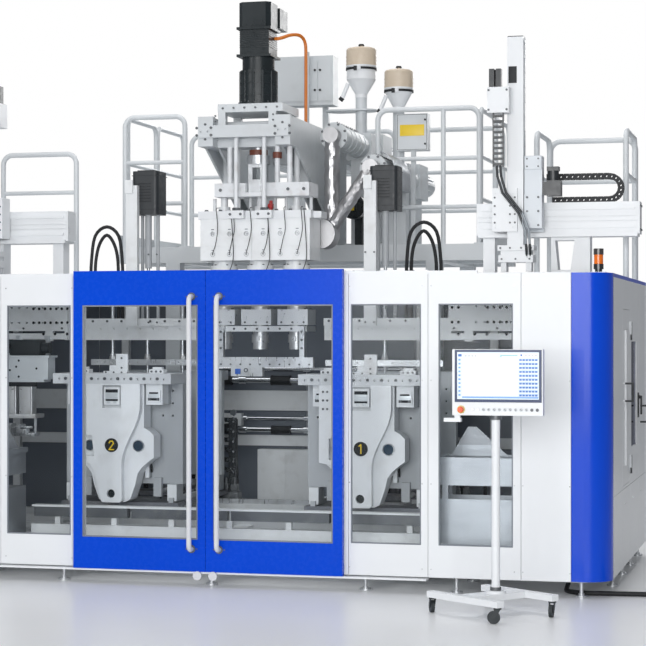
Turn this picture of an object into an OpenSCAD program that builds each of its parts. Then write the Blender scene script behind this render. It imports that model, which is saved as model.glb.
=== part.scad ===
// Blow moulding machine with two clamp stations beside a central parison head.
// Millimetres, +Z up. The origin lies on the floor under the middle of the head,
// on the line where the two front doors meet. The front faces -Y.

/* [Enclosure] */
// Width over the two corner columns
body_w = 5410; // [5350:10:6000]
// Depth from the front panels to the rear panels
body_d = 2600; // [2550:10:3000]
// Distance from the head's centre to the front panels
front_off = 1350; // [1340:5:1450]
// Height of the enclosure's top edge
panel_top = 2100; // [2090:1:2110]
// Height of the panels' lower edge
panel_bot = 108; // [104:1:130]
// Thickness of a folded panel
panel_t = 30; // [24:1:40]
// Outer radius of the corner columns
column_r = 170; // [120:5:200]
// Width of a corner column seen from the front
column_w = 251; // [230:1:300]
// Lower edge of the windows
win_bot = 317; // [280:1:360]
// Upper edge of the windows
win_top = 1902; // [1800:1:1950]
// Thickness of a window pane
pane_t = 6; // [4:0.5:8]

/* [Front doors] */
// Width of one sliding door
door_w = 950; // [900:1:960]
// Height of the door's top edge
door_top = 2134; // [2130:1:2160]
// Thickness of a door
door_t = 50; // [45:1:54]
// How far a door's face stands in front of the panels
door_stand = 60; // [58:1:80]
// Diameter of the pull handles
handle_d = 34; // [26:1:40]
// Distance of a handle's axis from the door's face
handle_out = 60; // [50:1:80]

/* [Clamp stations] */
// Distance of a station's centre from the head
station_x = 920; // [910:1:960]
// Width of a platen
platen_w = 900; // [860:5:920]
// Height of a platen's top edge
platen_top = 1420; // [1400:1:1430]
// Distance from the head's centre to an open platen's inner face
platen_open = 430; // [400:5:450]
// Thickness of a platen
platen_t = 70; // [60:1:80]
// Diameter of the pins in the clamp castings
pin_d = 85; // [70:1:95]
// Height of the two upper casting pins
pin_z = 900; // [880:1:920]

/* [Head and drive] */
// Distance between two dies
die_pitch = 280; // [270:1:290]
// Width of the head block
head_w = 840; // [820:2:860]
// Depth of the head block
head_d = 300; // [280:2:320]
// Height of the head block's lower face
head_bot = 2248; // [2240:1:2260]
// Diameter of the drive's gear case
gear_d = 276; // [250:2:300]

/* [Extruders] */
// Height of the platform's deck
deck_z = 2400; // [2380:5:2440]
// Diameter of an extruder barrel
barrel_d = 160; // [130:2:180]
// Diameter of a hopper
hopper_d = 235; // [200:1:260]
// Diameter of the guard rail tubes
rail_d = 42; // [34:1:48]

/* [Take-out robots] */
// Height of a robot beam
beam_h = 222; // [200:2:240]
// Depth of a robot beam
beam_d = 160; // [140:2:180]
// Width of a robot's vertical arm
arm_w = 116; // [100:2:124]
// Length of a robot's vertical arm
arm_len = 1494; // [1300:2:1600]

/* [Operator panel] */
// Width of the panel's housing
hmi_w = 553; // [480:1:600]
// Height of the panel's housing
hmi_h = 400; // [360:1:440]
// Diameter of the stand's post
post_d = 52; // [40:1:60]
// Diameter of a caster wheel
wheel_d = 76; // [60:1:80]

/* [Hidden] */
$fn = 40;

white = [0.93, 0.94, 0.95];
cast_white = [0.90, 0.91, 0.92];
door_blue = [0.0, 0.22, 0.85];
steel = [0.66, 0.68, 0.70];
charcoal = [0.15, 0.18, 0.20];
black = [0.06, 0.06, 0.07];
beige = [0.85, 0.78, 0.66];
orange = [0.95, 0.42, 0.08];
grey = [0.78, 0.80, 0.81];

// Gap between flat or round pieces on different bodies, and the gap at a seam
gap = 0.3;
seam = 3;

// Enclosure: the plan's lines, from the middle outwards
half_w = body_w / 2;
front_y = -front_off;
rear_y = front_y + body_d;
in_front = front_y + panel_t;
in_rear = rear_y - panel_t;
in_end = half_w - panel_t;
column_x = half_w - column_w;
seam_1 = door_w + 29;
seam_2 = seam_1 + 537;
seam_3 = seam_2 + 614;
win_1 = [seam_1 + 14, seam_2 - 48];
win_2 = [seam_2 + 68, seam_3 - 54];
rebate = 15;
pane_in = 12;

// Frame members
tube = 60;
base_z = [100, 260];
base_tube = 80;
foot_y = [front_y + 80, -650, 0, 580, rear_y - 80];
foot_x = [half_w - 60, half_w - 1015, 1075, 0];
front_foot = half_w - 195;

// End wall: seams along its depth
end_y0 = front_y + column_r + 20;
end_seams = [-600, -30, 590];
end_post_y = [-650, 0, 560];
skirt_z = 640;
end_door_z = [664, 1874];
end_win_y = [50, 490];
end_win_z = [900, 1650];

// Doors
door_y = front_y - door_stand;
door_back = door_y + door_t;
door_bot = 102;
door_in = 1.5;
door_win = [55, door_w - 65];
handle_x = 97;
handle_z = [254, 1956];
handle_bend = 35;
hang_t = 14;
roller_x = 55;
roller_d = 60;
hub_d = 24;
low_rail_t = 12;
door_travel = 860;

// Bed and shuttles: heights from the bed upwards
bed_top = 400;
rail_w = 34;
rail_h = 35;
block_w = 70;
shuttle_rail_y = 420;
base_plate_z = [455, 485];
base_plate_y = 600;
cross_rail_x = 390;
foot_z = 495;
platen_bot = 615;

// Head
head_x = -30;
head_top = head_bot + 307;
head_split = head_bot + 100;
frame_x = -90;
frame_w = 706;
frame_z = [3088, 3300];
side_beam_w = 115;
yoke_z = [2720, 2820];
top_plate_z = [3335, 3395];
die_end = 1590;

// Platform
deck_x = [-1540, 1480];
deck_y = [rear_y - 220, rear_y + 1370];
deck_post_x = 1075;
deck_t = 8;
deck_beam = 120;
guard_top = deck_z + 1070;
guard_y = deck_y[0] + 30;
roof_t = 5;

// Robots
beam_z0 = 2427;
beam_x = [1604, half_w + 45];
beam_y0 = 60;
arm_x = 1836;
arm_y = [-80, 28];
left_shift = 330;
roof_hole_y = [-350, 50];
roof_hole_x = [1625, half_w - 105];

// Operator panel
hmi_x = 2117;
hmi_y = -2160;
hmi_z = 1211;
hmi_t = 60;
stand_turn = -37;
leg_len = 620;
leg_off = 227;
caster_fork = 96;

// Floor cable: its gland on a floor beam, and its route from there, measured from the end wall
cable_r = 16;
gland = [-305, foot_y[1] - base_tube / 2, 180];
gland_len = 22;
cable_way = [[-305, -650, 180], [-305, -700, 180], [-305, -770, 176], [-307, -840, 150], [-313, -910, 96],
    [-319, -975, 44], [-321, -1040, 18], [-305, -1100, 16], [-255, -1150, 16], [-185, -1176, 16],
    [-55, -1164, 16], [95, -1150, 16], [245, -1138, 16], [395, -1132, 16], [545, -1150, 16],
    [685, -1198, 16], [795, -1236, 16], [895, -1247.7, 16]];
coil_c = [895, -1440];
coil_r = 127;

// Basic shapes: a box between two corners, and rods along the three axes
module span(a, b) translate(a) cube(b - a);
module rod_x(x0, x1, y, z, r) translate([x0, y, z]) rotate([0, 90, 0]) cylinder(h = x1 - x0, r = r);
module rod_y(y0, y1, x, z, r) translate([x, y0, z]) rotate([-90, 0, 0]) cylinder(h = y1 - y0, r = r);
module rod_z(z0, z1, x, y, r) translate([x, y, z0]) cylinder(h = z1 - z0, r = r);
module both_sides() {
    children();
    mirror([1, 0, 0]) children();
}

// A plate in the XZ plane with its rounded window cut through it, and a rebate for the pane
module windowed(x, y, z, wx, wz, back) {
    ledge = back ? y[0] + pane_in : y[1] - pane_in;
    difference() {
        span([x[0], y[0], z[0]], [x[1], y[1], z[1]]);
        span([wx[0], y[0] - 1, wz[0]], [wx[1], y[1] + 1, wz[1]]);
        span([wx[0] - rebate, ledge, wz[0] - rebate],
            [wx[1] + rebate, y[1] + 1, wz[1] + rebate]);
    }
}
module pane(wx, wz, ledge) {
    span([wx[0] - rebate + 1, ledge, wz[0] - rebate + 1],
        [wx[1] + rebate - 1, ledge + pane_t, wz[1] + rebate - 1]);
}

// A tube swept along a list of points, for cables and hoses that keep their shape
function unit(v) = v / norm(v);
function path_dir(p, i) = unit(p[min(i + 1, len(p) - 1)] - p[max(i - 1, 0)]);
function side_of(d) = norm(cross(d, [0, 0, 1])) > 0.2 ? unit(cross(d, [0, 0, 1])) : unit(cross(d, [1, 0, 0]));
function carry(v, d) = unit(v - d * (v * d));
function sides_along(p, i = 0, v = [0, 0, 0]) = i == len(p) ? [] :
    let (d = path_dir(p, i), w = i == 0 ? side_of(d) : carry(v, d)) concat([w], sides_along(p, i + 1, w));
module sweep(p, r, sides = 8) {
    s = sides_along(p);
    n = len(p);
    points = [for (i = [0:n - 1], k = [0:sides - 1])
        let (d = path_dir(p, i), b = cross(d, s[i]), a = 360 * k / sides)
        p[i] + r * (cos(a) * s[i] + sin(a) * b)];
    skin = [for (i = [0:n - 2], k = [0:sides - 1])
        let (k2 = (k + 1) % sides)
        [i * sides + k, i * sides + k2, (i + 1) * sides + k2, (i + 1) * sides + k]];
    first = [for (k = [sides - 1:-1:0]) k];
    last = [for (k = [0:sides - 1]) (n - 1) * sides + k];
    polyhedron(points, concat(skin, [first, last]));
}
// Points along a smooth curve through hand-chosen points, n steps between two
function blend_pt(a, b, c, d, t) =
    0.5 * ((2 * b) + (c - a) * t + (2 * a - 5 * b + 4 * c - d) * t * t + (3 * b - a - 3 * c + d) * t * t * t);
function smooth(p, n) = concat([for (i = [0:len(p) - 2], k = [0:n - 1])
    blend_pt(p[max(i - 1, 0)], p[i], p[i + 1], p[min(i + 2, len(p) - 1)], k / n)], [p[len(p) - 1]]);

// Levelling feet under the base frame
module levelling_feet() color(steel) {
    pad_r = 40;
    stem_r = 12;
    for (x = foot_x, y = foot_y, s = x > 0 ? [-1, 1] : [1]) {
        at = s * (x == foot_x[0] && y == foot_y[0] ? front_foot : x);
        rod_z(0, 12, at, y, pad_r);
        rod_z(12, 26, at, y, stem_r + 8);
        rod_z(26, base_z[0], at, y, stem_r);
    }
}

// Welded frame: floor beams, posts between the windows and the top ring
post_x = [half_w - 235, seam_2 - 12, seam_1 - 64];
corner_y = end_y0;
module base_frame() color(white) {
    top = [panel_top - tube, panel_top];
    half = base_tube / 2;
    low = base_z[0];
    difference() {
        union() {
            for (y = foot_y) span([y < -1000 ? -front_foot - half : -in_end, y - half, low],
                [y < -1000 ? front_foot + half : in_end, y + half, base_z[1]]);
            both_sides() {
                for (x = [front_foot, foot_x[1], foot_x[2]])
                    span([x - half, foot_y[0], low], [x + half, foot_y[4], base_z[1]]);
                span([in_end - base_tube, corner_y, low], [in_end, in_rear, base_z[1]]);
                span([front_foot, corner_y, low], [in_end, corner_y + base_tube, base_z[1]]);
            }
            span([-half, foot_y[0], low], [half, foot_y[4], base_z[1]]);
            // Gland of the supply cable
            rod_y(gland[1] - gland_len, gland[1], half_w + gland[0], gland[2], cable_r + 14);
        }
        rod_y(gland[1] - gland_len - 1, gland[1] + 60, half_w + gland[0], gland[2], cable_r + 1);
    }
    both_sides() {
        for (x = post_x) {
            span([x, in_front, base_z[1]], [x + tube, in_front + tube, top[0]]);
            span([x, in_rear - tube, base_z[1]], [x + tube, in_rear, top[0]]);
        }
        for (y = end_post_y) span([in_end - tube, y, base_z[1]], [in_end, y + tube, top[0]]);
        span([in_end - tube, corner_y, top[0]], [in_end, in_rear, top[1]]);
        span([post_x[0], in_front, top[0]], [post_x[0] + tube, corner_y + tube, top[1]]);
        span([post_x[0], corner_y, top[0]], [in_end, corner_y + tube, top[1]]);
        span([roof_hole_x[0] - tube, in_front, top[0]], [roof_hole_x[0], in_rear, top[1]]);
        // Cross beam that carries the robot's pedestals
        span([roof_hole_x[0], beam_y0, top[0]], [in_end - tube, beam_y0 + beam_d, top[1]]);
    }
    span([-post_x[0] - tube, in_front, top[0]], [post_x[0] + tube, in_front + tube, top[1]]);
    span([-in_end, in_rear - tube, top[0]], [in_end, in_rear, top[1]]);
}

// Front panels, mirrored about the doors
module front_panels() color(white) both_sides() {
    y = [front_y, in_front];
    z = [panel_bot, panel_top];
    wz = [win_bot, win_top];
    windowed([seam_1, seam_2 - seam], y, z, win_1, wz, true);
    windowed([seam_2, seam_3 - seam], y, z, win_2, wz, true);
    span([seam_3, y[0], z[0]], [column_x - seam, y[1], z[1]]);
    // Jamb beside the door opening
    span([post_x[2] - 10, y[0], z[0]], [seam_1 - seam, y[1], z[1]]);
}

module window_panes() color([0.8, 0.88, 0.92, 0.35]) {
    both_sides() for (w = [win_1, win_2]) pane(w, [win_bot, win_top], front_y + pane_in);
    // Blue pane in the right end wall
    span([half_w - pane_in - pane_t, end_win_y[0] - rebate + 1, end_win_z[0] - rebate + 1],
        [half_w - pane_in, end_win_y[1] + rebate - 1, end_win_z[1] + rebate - 1]);
}

// Rounded corner columns: a folded shell, flat in front and round towards the side
module column_outline(t) {
    c = [half_w - column_r, front_y + column_r];
    translate([column_x - t, front_y + t]) square([c[0] - column_x + t + 0.01, column_r + 20]);
    translate(c - [0.01, 0]) square([column_r - t, 20 + t]);
    intersection() {
        translate(c) circle(r = column_r - t, $fn = 96);
        translate(c - [0.01, column_r]) square([column_r, column_r + 0.01]);
    }
}
module corner_columns() color(door_blue) both_sides()
    translate([0, 0, panel_bot]) linear_extrude(panel_top - panel_bot) difference() {
        column_outline(0);
        column_outline(panel_t);
    }

// End walls: upper panels over a skirt; the right one has the door opening and a window
module end_wall(right) {
    x = [in_end, half_w];
    y1 = concat([end_y0 + seam], [for (s = end_seams) s + seam]);
    y2 = concat(end_seams, [rear_y]);
    for (i = [0:3]) {
        span([x[0], y1[i], panel_bot], [x[1], y2[i], skirt_z]);
        difference() {
            span([x[0], y1[i], skirt_z + seam], [x[1], y2[i], panel_top]);
            if (right && i == 1)
                span([x[0] - 1, end_open_y[0], end_door_z[0]], [x[1] + 1, end_open_y[1], end_door_z[1]]);
            if (right && i == 2) {
                span([x[0] - 1, end_win_y[0], end_win_z[0]], [x[1] + 1, end_win_y[1], end_win_z[1]]);
                span([x[0] - 1, end_win_y[0] - rebate, end_win_z[0] - rebate],
                    [x[1] - pane_in, end_win_y[1] + rebate, end_win_z[1] + rebate]);
            }
        }
    }
}
module end_grip(y, z) {
    r = 7;
    reach = 65;
    for (s = [0, 120]) rod_x(half_w, half_w + reach, y, z + s, r);
    rod_z(z - r, z + 120 + r, half_w + reach, y, r);
}
// Hinge: the leaf's straps with their knuckles, and the wall's knuckles below them
end_open_y = [end_seams[0] + 43, end_seams[1] - 25];
end_leaf_y = end_open_y + [3, -3];
end_hinge = [half_w + 8.4, end_open_y[1] + 5];
hinge_z = [760, 1700];
hinge_h = 90;
module end_panels() color(white) {
    end_wall(true);
    mirror([1, 0, 0]) end_wall(false);
    end_grip(700, 1050);
    for (z = hinge_z) {
        rod_z(z - 40, z - gap, end_hinge[0], end_hinge[1], 8);
        span([half_w, end_hinge[1], z - 40], [half_w + 4, end_hinge[1] + 26, z - gap]);
    }
}

// Hinged service door in the right end wall
module end_door() color(white) {
    span([in_end + 4, end_leaf_y[0], end_door_z[0] + 3], [half_w, end_leaf_y[1], end_door_z[1] - 3]);
    span([half_w, -410, 800], [half_w + 12, -200, 1730]);
    end_grip(-520, 1246);
    for (z = hinge_z) {
        rod_z(z, z + hinge_h, end_hinge[0], end_hinge[1], 8);
        span([half_w, end_leaf_y[1] - 30, z], [half_w + 4.4, end_leaf_y[1], z + hinge_h]);
        span([half_w + 0.4, end_leaf_y[1], z], [half_w + 4.4, end_hinge[1], z + hinge_h]);
    }
}

// Rear wall and roof, with openings for the robots, the blow units and the head
module rear_and_roof_panels() color(white) {
    rear_z = [panel_bot, panel_top];
    for (i = [0:5]) {
        w = (body_w - 2 * panel_t - 2 * seam) / 6;
        x0 = -half_w + panel_t + seam + i * w;
        span([x0, in_rear, rear_z[0]], [x0 + w - seam, rear_y, rear_z[1]]);
    }
    both_sides() difference() {
        span([1300, front_y + 60, panel_top], [half_w - 40, rear_y - 5, panel_top + roof_t]);
        span([roof_hole_x[0], roof_hole_y[0], panel_top - 1],
            [roof_hole_x[1], roof_hole_y[1], panel_top + roof_t + 1]);
    }
}

// Top rail on the roof's front edge and the low rail in front of the base frame
module door_rails() color(white) {
    reach = door_w + door_travel + 30;
    span([-reach, front_y + 5, panel_top], [reach, front_y + 25, door_top - hang_t - gap]);
    low = seam_2 - 5;
    span([-low, door_back - 40, base_z[0] - low_rail_t], [low, foot_y[0] - 30, base_z[0]]);
}

// Sliding doors
module handle() {
    y = door_y - handle_out;
    r = handle_d / 2;
    b = handle_bend;
    rod_z(handle_z[0] + b, handle_z[1] - b, handle_x, y, r);
    bend([handle_x, y + b, handle_z[1] - b], true, 90, b, r);
    bend([handle_x, y + b, handle_z[0] + b], true, 180, b, r);
    for (z = handle_z) rod_y(y + b - 0.01, door_y, handle_x, z, r);
}
module door_leaf() {
    windowed([door_in, door_w], [door_y, door_back], [door_bot, door_top], door_win,
        [win_bot, win_top - 2], true);
    handle();
    // Hanger flange over the top rail
    span([30, door_back - 1, door_top - hang_t], [door_w - 30, front_y + 30, door_top]);
    // Roller on its tab under the inner corner
    z = base_z[0] - low_rail_t - gap - hub_d / 2;
    span([roller_x - 18, door_y, z - 20], [roller_x + 18, door_y + 8, door_bot + 1]);
    rod_y(door_y - 14, door_y, roller_x, z, roller_d / 2);
    rod_y(door_y + 7, door_back - 8, roller_x, z, hub_d / 2);
}
module left_door() color(door_blue) mirror([1, 0, 0]) door_leaf();
module right_door() color(door_blue) door_leaf();
module left_door_pane() color([0.8, 0.88, 0.92, 0.35]) mirror([1, 0, 0])
    pane(door_win, [win_bot, win_top - 2], door_y + pane_in);
module right_door_pane() color([0.8, 0.88, 0.92, 0.35])
    pane(door_win, [win_bot, win_top - 2], door_y + pane_in);

// Bed: a front sill with a ledge, posts and a top strip, and two beams under the shuttle rails
bed_half = station_x + platen_w / 2 + 110;
module bed_frame() color(white) {
    sill_y = [-900, -800];
    span([-bed_half, sill_y[0], base_z[1]], [bed_half, sill_y[1], 335]);
    span([-bed_half, sill_y[0] - 5, 335], [bed_half, sill_y[1] + 20, 343]);
    for (i = [-3:3]) span([i * 430 - 20, -870, 343], [i * 430 + 20, -830, 395]);
    span([-bed_half, -890, 465], [bed_half, -810, 478]);
    for (s = [-1, 1]) span([-bed_half, s * shuttle_rail_y - 60, base_z[1]],
        [bed_half, s * shuttle_rail_y + 60, bed_top]);
    for (x = [-bed_half + 30, -60, bed_half - 150])
        span([x, -800, base_z[1]], [x + 120, -shuttle_rail_y - 60, 330]);
}
module bed_beams() color(charcoal) {
    count = 4;
    pitch = 2 * bed_half / count;
    for (i = [0:count - 1]) span([-bed_half + i * pitch + 15, -880, 395],
        [-bed_half + (i + 1) * pitch - 15, -820, 465]);
}
module shuttle_rails() color(steel) for (s = [-1, 1])
    difference() {
        span([-bed_half + 20, s * shuttle_rail_y - rail_w / 2, bed_top],
            [bed_half - 20, s * shuttle_rail_y + rail_w / 2, bed_top + rail_h]);
        for (i = [-11:11]) rod_z(bed_top + 20, bed_top + rail_h + 1, i * 120 + 60, s * shuttle_rail_y, 7);
    }

// A carriage block that wraps a rail; along is the rail's direction, 0 for X and 1 for Y
module rail_block(len, z0, z1, rail_top, along) {
    rotate([0, 0, 90 * along]) difference() {
        span([-len / 2, -block_w / 2, z0], [len / 2, block_w / 2, z1]);
        span([-len, -rail_w / 2 - gap, z0 - 1], [len, rail_w / 2 + gap, rail_top + gap]);
    }
}

// Shuttle base: an open plate on four blocks, with the cross rails and the clamp cylinders
cyl_x = 270;
cyl_z = 555;
cyl_r = 36;
cyl_len = 560;
rod_r = 18;
rod_in = 250;
run = 0.05;
module shuttle_base() {
    half = platen_w / 2;
    difference() {
        span([-half, -base_plate_y, base_plate_z[0]], [half, base_plate_y, base_plate_z[1]]);
        span([-200, -shuttle_rail_y + 80, base_plate_z[0] - 1],
            [200, shuttle_rail_y - 80, base_plate_z[1] + 1]);
    }
    for (x = [-1, 1], y = [-1, 1]) {
        translate([x * (half - 90), y * shuttle_rail_y, 0])
            rail_block(130, bed_top + 6, base_plate_z[0], bed_top + rail_h, 0);
        span([x * cyl_x - 24, y * 200 - 20, base_plate_z[1]],
            [x * cyl_x + 24, y * 200 + 20, cyl_z - cyl_r + 6]);
    }
    for (x = [-1, 1]) {
        span([x * cross_rail_x - rail_w / 2, -base_plate_y + 10, base_plate_z[1]],
            [x * cross_rail_x + rail_w / 2, base_plate_y - 10, base_plate_z[1] + rail_h]);
        difference() {
            union() {
                rod_y(-cyl_len / 2, cyl_len / 2, x * cyl_x, cyl_z, cyl_r);
                for (y = [-cyl_len / 2, cyl_len / 2 - 30])
                    span([x * cyl_x - 38, y, cyl_z - 38], [x * cyl_x + 38, y + 30, cyl_z + 38]);
            }
            rod_y(-cyl_len / 2 - 1, -20, x * cyl_x, cyl_z, rod_r + run);
            rod_y(20, cyl_len / 2 + 1, x * cyl_x, cyl_z, rod_r + run);
        }
    }
}
module left_shuttle() color(steel) translate([-station_x, 0, 0]) shuttle_base();
module right_shuttle() color(steel) translate([station_x, 0, 0]) shuttle_base();

// Clamp casting: a front plate with an S-shaped edge over a set-back web with pin bosses
cast_top = platen_top - 74;
cast_foot = 494;
boss_x = 185;
neck = 75;
cast_y = [-760, -700, -560];
module front_outline() {
    shoulder = 215;
    steps = 18;
    s_z = [760, 1195];
    right = [for (i = [0:steps]) let (t = i / steps)
        [neck + (shoulder - neck) * (1 - cos(180 * t)) / 2, s_z[0] + (s_z[1] - s_z[0]) * t]];
    polygon(concat([[-82, cast_foot + 14], [-70, cast_foot], [60, cast_foot],
        [neck + 2, cast_foot + 16]], right,
        [[shoulder, cast_top], [-300, cast_top], [-300, 805],
            [-220, 790], [-170, 768], [-140, 735]]));
}
module web_outline() {
    half = [[0, cast_foot], [80, cast_foot], [120, cast_foot + 20], [158, 620], [176, 700], [210, 745],
        [262, 790], [300, 815], [300, 975], [262, 1010], [225, 1030], [225, cast_top], [0, cast_top]];
    polygon(half);
    mirror([1, 0]) polygon(half);
}
module clamp_casting() {
    difference() {
        union() {
            translate([0, cast_y[1], 0]) rotate([90, 0, 0]) linear_extrude(cast_y[1] - cast_y[0])
                front_outline();
            translate([0, cast_y[2], 0]) rotate([90, 0, 0]) linear_extrude(cast_y[2] - cast_y[1])
                web_outline();
        }
        // Pin bores, the window over the left pin, the lower bore and the clamp pocket
        for (s = [-1, 1]) rod_y(cast_y[0] - 1, cast_y[2] + 1, s * boss_x, pin_z, pin_d / 2 + run);
        translate([-boss_x - 45, cast_y[0] - 1, pin_z - 75]) rotate([-90, 0, 0]) mirror([0, 1, 0])
            linear_extrude(cast_y[1] - cast_y[0] + 1) polygon([[0, 0], [96, 0], [78, 150], [0, 150]]);
        rod_y(cast_y[0] - 1, cast_y[2] + 1, -6, 557, pin_d * 0.36);
        span([-70, cast_y[0] - 1, 1172], [70, cast_y[0] + 45, 1336]);
    }
    // Clamp block in the pocket
    span([-60, cast_y[0] + 4, 1195], [60, cast_y[0] + 45, 1322]);
}
// Platens. The front one carries the casting's pins, the rear one is its mirror with plain ribs
module platen(y0, y1) {
    half = platen_w / 2;
    difference() {
        span([-half, y0, platen_bot], [half, y1, platen_top]);
        for (x = [-375:75:375], z = [0:2]) if (abs(x) > 240)
            rod_y(y0 - 1, y1 + 1, x, platen_top - 130 - z * 90, 8);
    }
}
module platen_feet(s) {
    y = s * (platen_open + 60);
    for (x = [-1, 1]) {
        translate([x * cross_rail_x, y, 0]) rail_block(150, foot_z, platen_bot, base_plate_z[1] + rail_h, 1);
        far = s * (platen_open + platen_t);
        rod_y(min(s * (rod_in), far), max(s * rod_in, far), x * cyl_x, cyl_z, rod_r);
        span([x * cyl_x - 30, min(far, far + s * 40), cyl_z - 32],
            [x * cyl_x + 30, max(far, far + s * 40), platen_bot + 45]);
    }
}
module front_platen() {
    half = platen_w / 2;
    y0 = -platen_open - platen_t;
    platen(y0, -platen_open);
    platen_feet(-1);
    // Top flange over the casting, with its row of bolts
    difference() {
        span([-half, cast_y[0] - 4, cast_top], [half, y0, platen_top]);
        for (x = [-400:100:400]) rod_y(cast_y[0] - 5, cast_y[0] + 16, x, cast_top + 34, 8);
    }
    // Ribs between the casting's web and the platen
    for (x = [-200, 0, 200]) span([x - 15, cast_y[2], 660], [x + 15, y0, cast_top]);
    // Clamp blocks beside the casting
    for (x = [-300, 300]) {
        span([x - 62, cast_y[1] + 10, 1195], [x + 62, y0, cast_top]);
        span([x - 50, cast_y[1] - 4, 1215], [x + 50, cast_y[1] + 10, 1300]);
    }
    // Pins
    for (x = [-boss_x, boss_x]) rod_y(cast_y[1] - 6, y0, x, pin_z, pin_d / 2);
}
module rear_platen() {
    half = platen_w / 2;
    y1 = platen_open + platen_t;
    platen(platen_open, y1);
    platen_feet(1);
    for (x = [-330, -110, 110, 330]) span([x - 15, y1, 680], [x + 15, y1 + 90, cast_top]);
    span([-half, y1, cast_top], [half, y1 + 100, platen_top]);
}
module clamp_front() {
    clamp_casting();
    front_platen();
}
module left_casting() color(cast_white) translate([-station_x, 0, 0]) clamp_front();
module right_casting() color(cast_white) translate([station_x, 0, 0]) clamp_front();
module left_rear_platen() color(steel) translate([-station_x, 0, 0]) rear_platen();
module right_rear_platen() color(steel) translate([station_x, 0, 0]) rear_platen();

// Overhead beams with the blow units' columns, covers and guide rods
blow_beam_z = [1658, 1765, 1820];
blow_beam_y = [-70, 90];
blow_rod_y = 0;
blow_rod_r = 14;
guide_r = 13;
guide_y = 62;
cover_z = [2606, 2931];
column_top = 2820;
act_z = [2200, 2606];
act_y = 20;
link_x = 1450;
module blow_beam() {
    b = blow_beam_z;
    difference() {
        union() {
            span([480, blow_beam_y[0], b[0]], [link_x, blow_beam_y[1], b[1]]);
            span([480, blow_beam_y[0] - 20, b[1]], [link_x, blow_beam_y[1], b[2]]);
        }
        for (x = [-die_pitch, 0, die_pitch])
            rod_z(b[0] - 1, b[2] + 1, station_x + x, blow_rod_y, blow_rod_r + run);
        for (i = [0:8]) rod_y(blow_beam_y[0] - 1, blow_beam_y[0] + 12, 530 + i * 105, b[1] - 22, 7);
    }
    // Link to the perforated end plate and its lower bar
    span([link_x, -300, b[0]], [link_x + 20, blow_beam_y[1], 1960]);
    difference() {
        span([link_x + 20, -300, 1725], [in_end - tube, -280, 1960]);
        for (i = [0:10], z = [1787, 1900]) rod_y(-301, -279, link_x + 75 + i * 62, z, 8);
    }
    span([link_x + 20, -306, 1662], [in_end - tube, -270, 1708]);
    for (x = [roof_hole_x[0] - tube, in_end - tube])
        span([x, -300, 1650], [x + tube, -280, panel_top - tube]);
    span([1565, -280, 1662], [1605, -255, 1960]);
}
module blow_unit(x) translate([x, 0, 0]) {
    c = blow_beam_y[0];
    span([-130, c - 50, blow_beam_z[1]], [-40, c - 20, blow_beam_z[2]]);
    span([-130, c - 50, blow_beam_z[2]], [-40, c, column_top]);
    span([-130, c - 70, column_top - 60], [-70, c - 50, column_top + 40]);
    // Motor cover with rounded vertical edges
    translate([2, c + 110, cover_z[0]]) linear_extrude(cover_z[1] - cover_z[0]) union() {
        square([205 - 60, 220], center = true);
        square([205, 220 - 60], center = true);
        for (i = [-1, 1], j = [-1, 1]) translate([i * 72.5, j * 80]) circle(r = 30);
    }
    for (s = [-1, 1]) rod_z(blow_beam_z[2], cover_z[0], s * 62, guide_y, guide_r);
    difference() {
        rod_z(act_z[0], act_z[1], 0, act_y, 26);
        rod_z(act_z[0] - 1, act_z[1] - 40, 0, act_y, 12 + run);
    }
}
module blow_frames() color(white) {
    both_sides() blow_beam();
    blow_unit(-station_x);
    blow_unit(station_x);
}
// Blow head: three blow pins on a lower rail, hung from a crosshead on the guide rods
module blow_head() {
    reach = die_pitch + 50;
    rail_z = [1468, 1512];
    cross_z = [2140, 2170];
    difference() {
        span([-platen_w / 2 + 10, -40, rail_z[0]], [platen_w / 2 - 10, 40, rail_z[1]]);
        for (i = [-6:6]) if (abs(i * 65 % 280) > 20) rod_y(-41, -20, i * 65, 1490, 7);
    }
    difference() {
        span([-reach, -30, cross_z[0]], [reach, guide_y + 25, cross_z[1]]);
        for (s = [-1, 1]) rod_z(cross_z[0] - 1, cross_z[1] + 1, s * 62, guide_y, guide_r + run);
    }
    for (x = [-die_pitch, 0, die_pitch]) {
        rod_z(rail_z[1], cross_z[0], x, blow_rod_y, blow_rod_r);
        rod_z(rail_z[0] - 70, rail_z[0], x, blow_rod_y, blow_rod_r - 3);
    }
    rod_z(cross_z[1], act_z[0] + 340, 0, act_y, 12);
}
module left_blow_head() color(steel) translate([-station_x, 0, 0]) blow_head();
module right_blow_head() color(steel) translate([station_x, 0, 0]) blow_head();

// Sheet-metal discharge chutes beside the stations
module discharge_chutes() color(steel) both_sides() {
    x = [seam_2 + 40, seam_3 + 60];
    y = [-1180, -820];
    t = 4;
    // Lower and upper boxes, with a gap between them
    for (z = [[base_z[1], 610], [700, 850]]) difference() {
        span([x[0], y[0], z[0]], [x[1], y[1], z[1]]);
        span([x[0] + t, y[0] + t, z[0] + t], [x[1] - t, y[1] - t, z[1] + 1]);
    }
    for (dx = [20, 500]) span([x[0] + dx, y[0], 610], [x[0] + dx + 40, y[0] + 40, 700]);
    // Rim and a tent-shaped deflector
    difference() {
        span([x[0] - 12, y[0] - 12, 850], [x[1] + 12, y[1] + 12, 886]);
        span([x[0] + 12, y[0] + 12, 849], [x[1] - 12, y[1] - 12, 887]);
    }
    translate([x[0] + 30, y[1] - 60, 886]) rotate([90, 0, 0]) linear_extrude(t)
        polygon([[0, 0], [110, 190], [170, 190], [380, 0]]);
    span([x[0], y[1] - 66, 878], [x[1], y[1] - 58, 886]);
}

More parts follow.
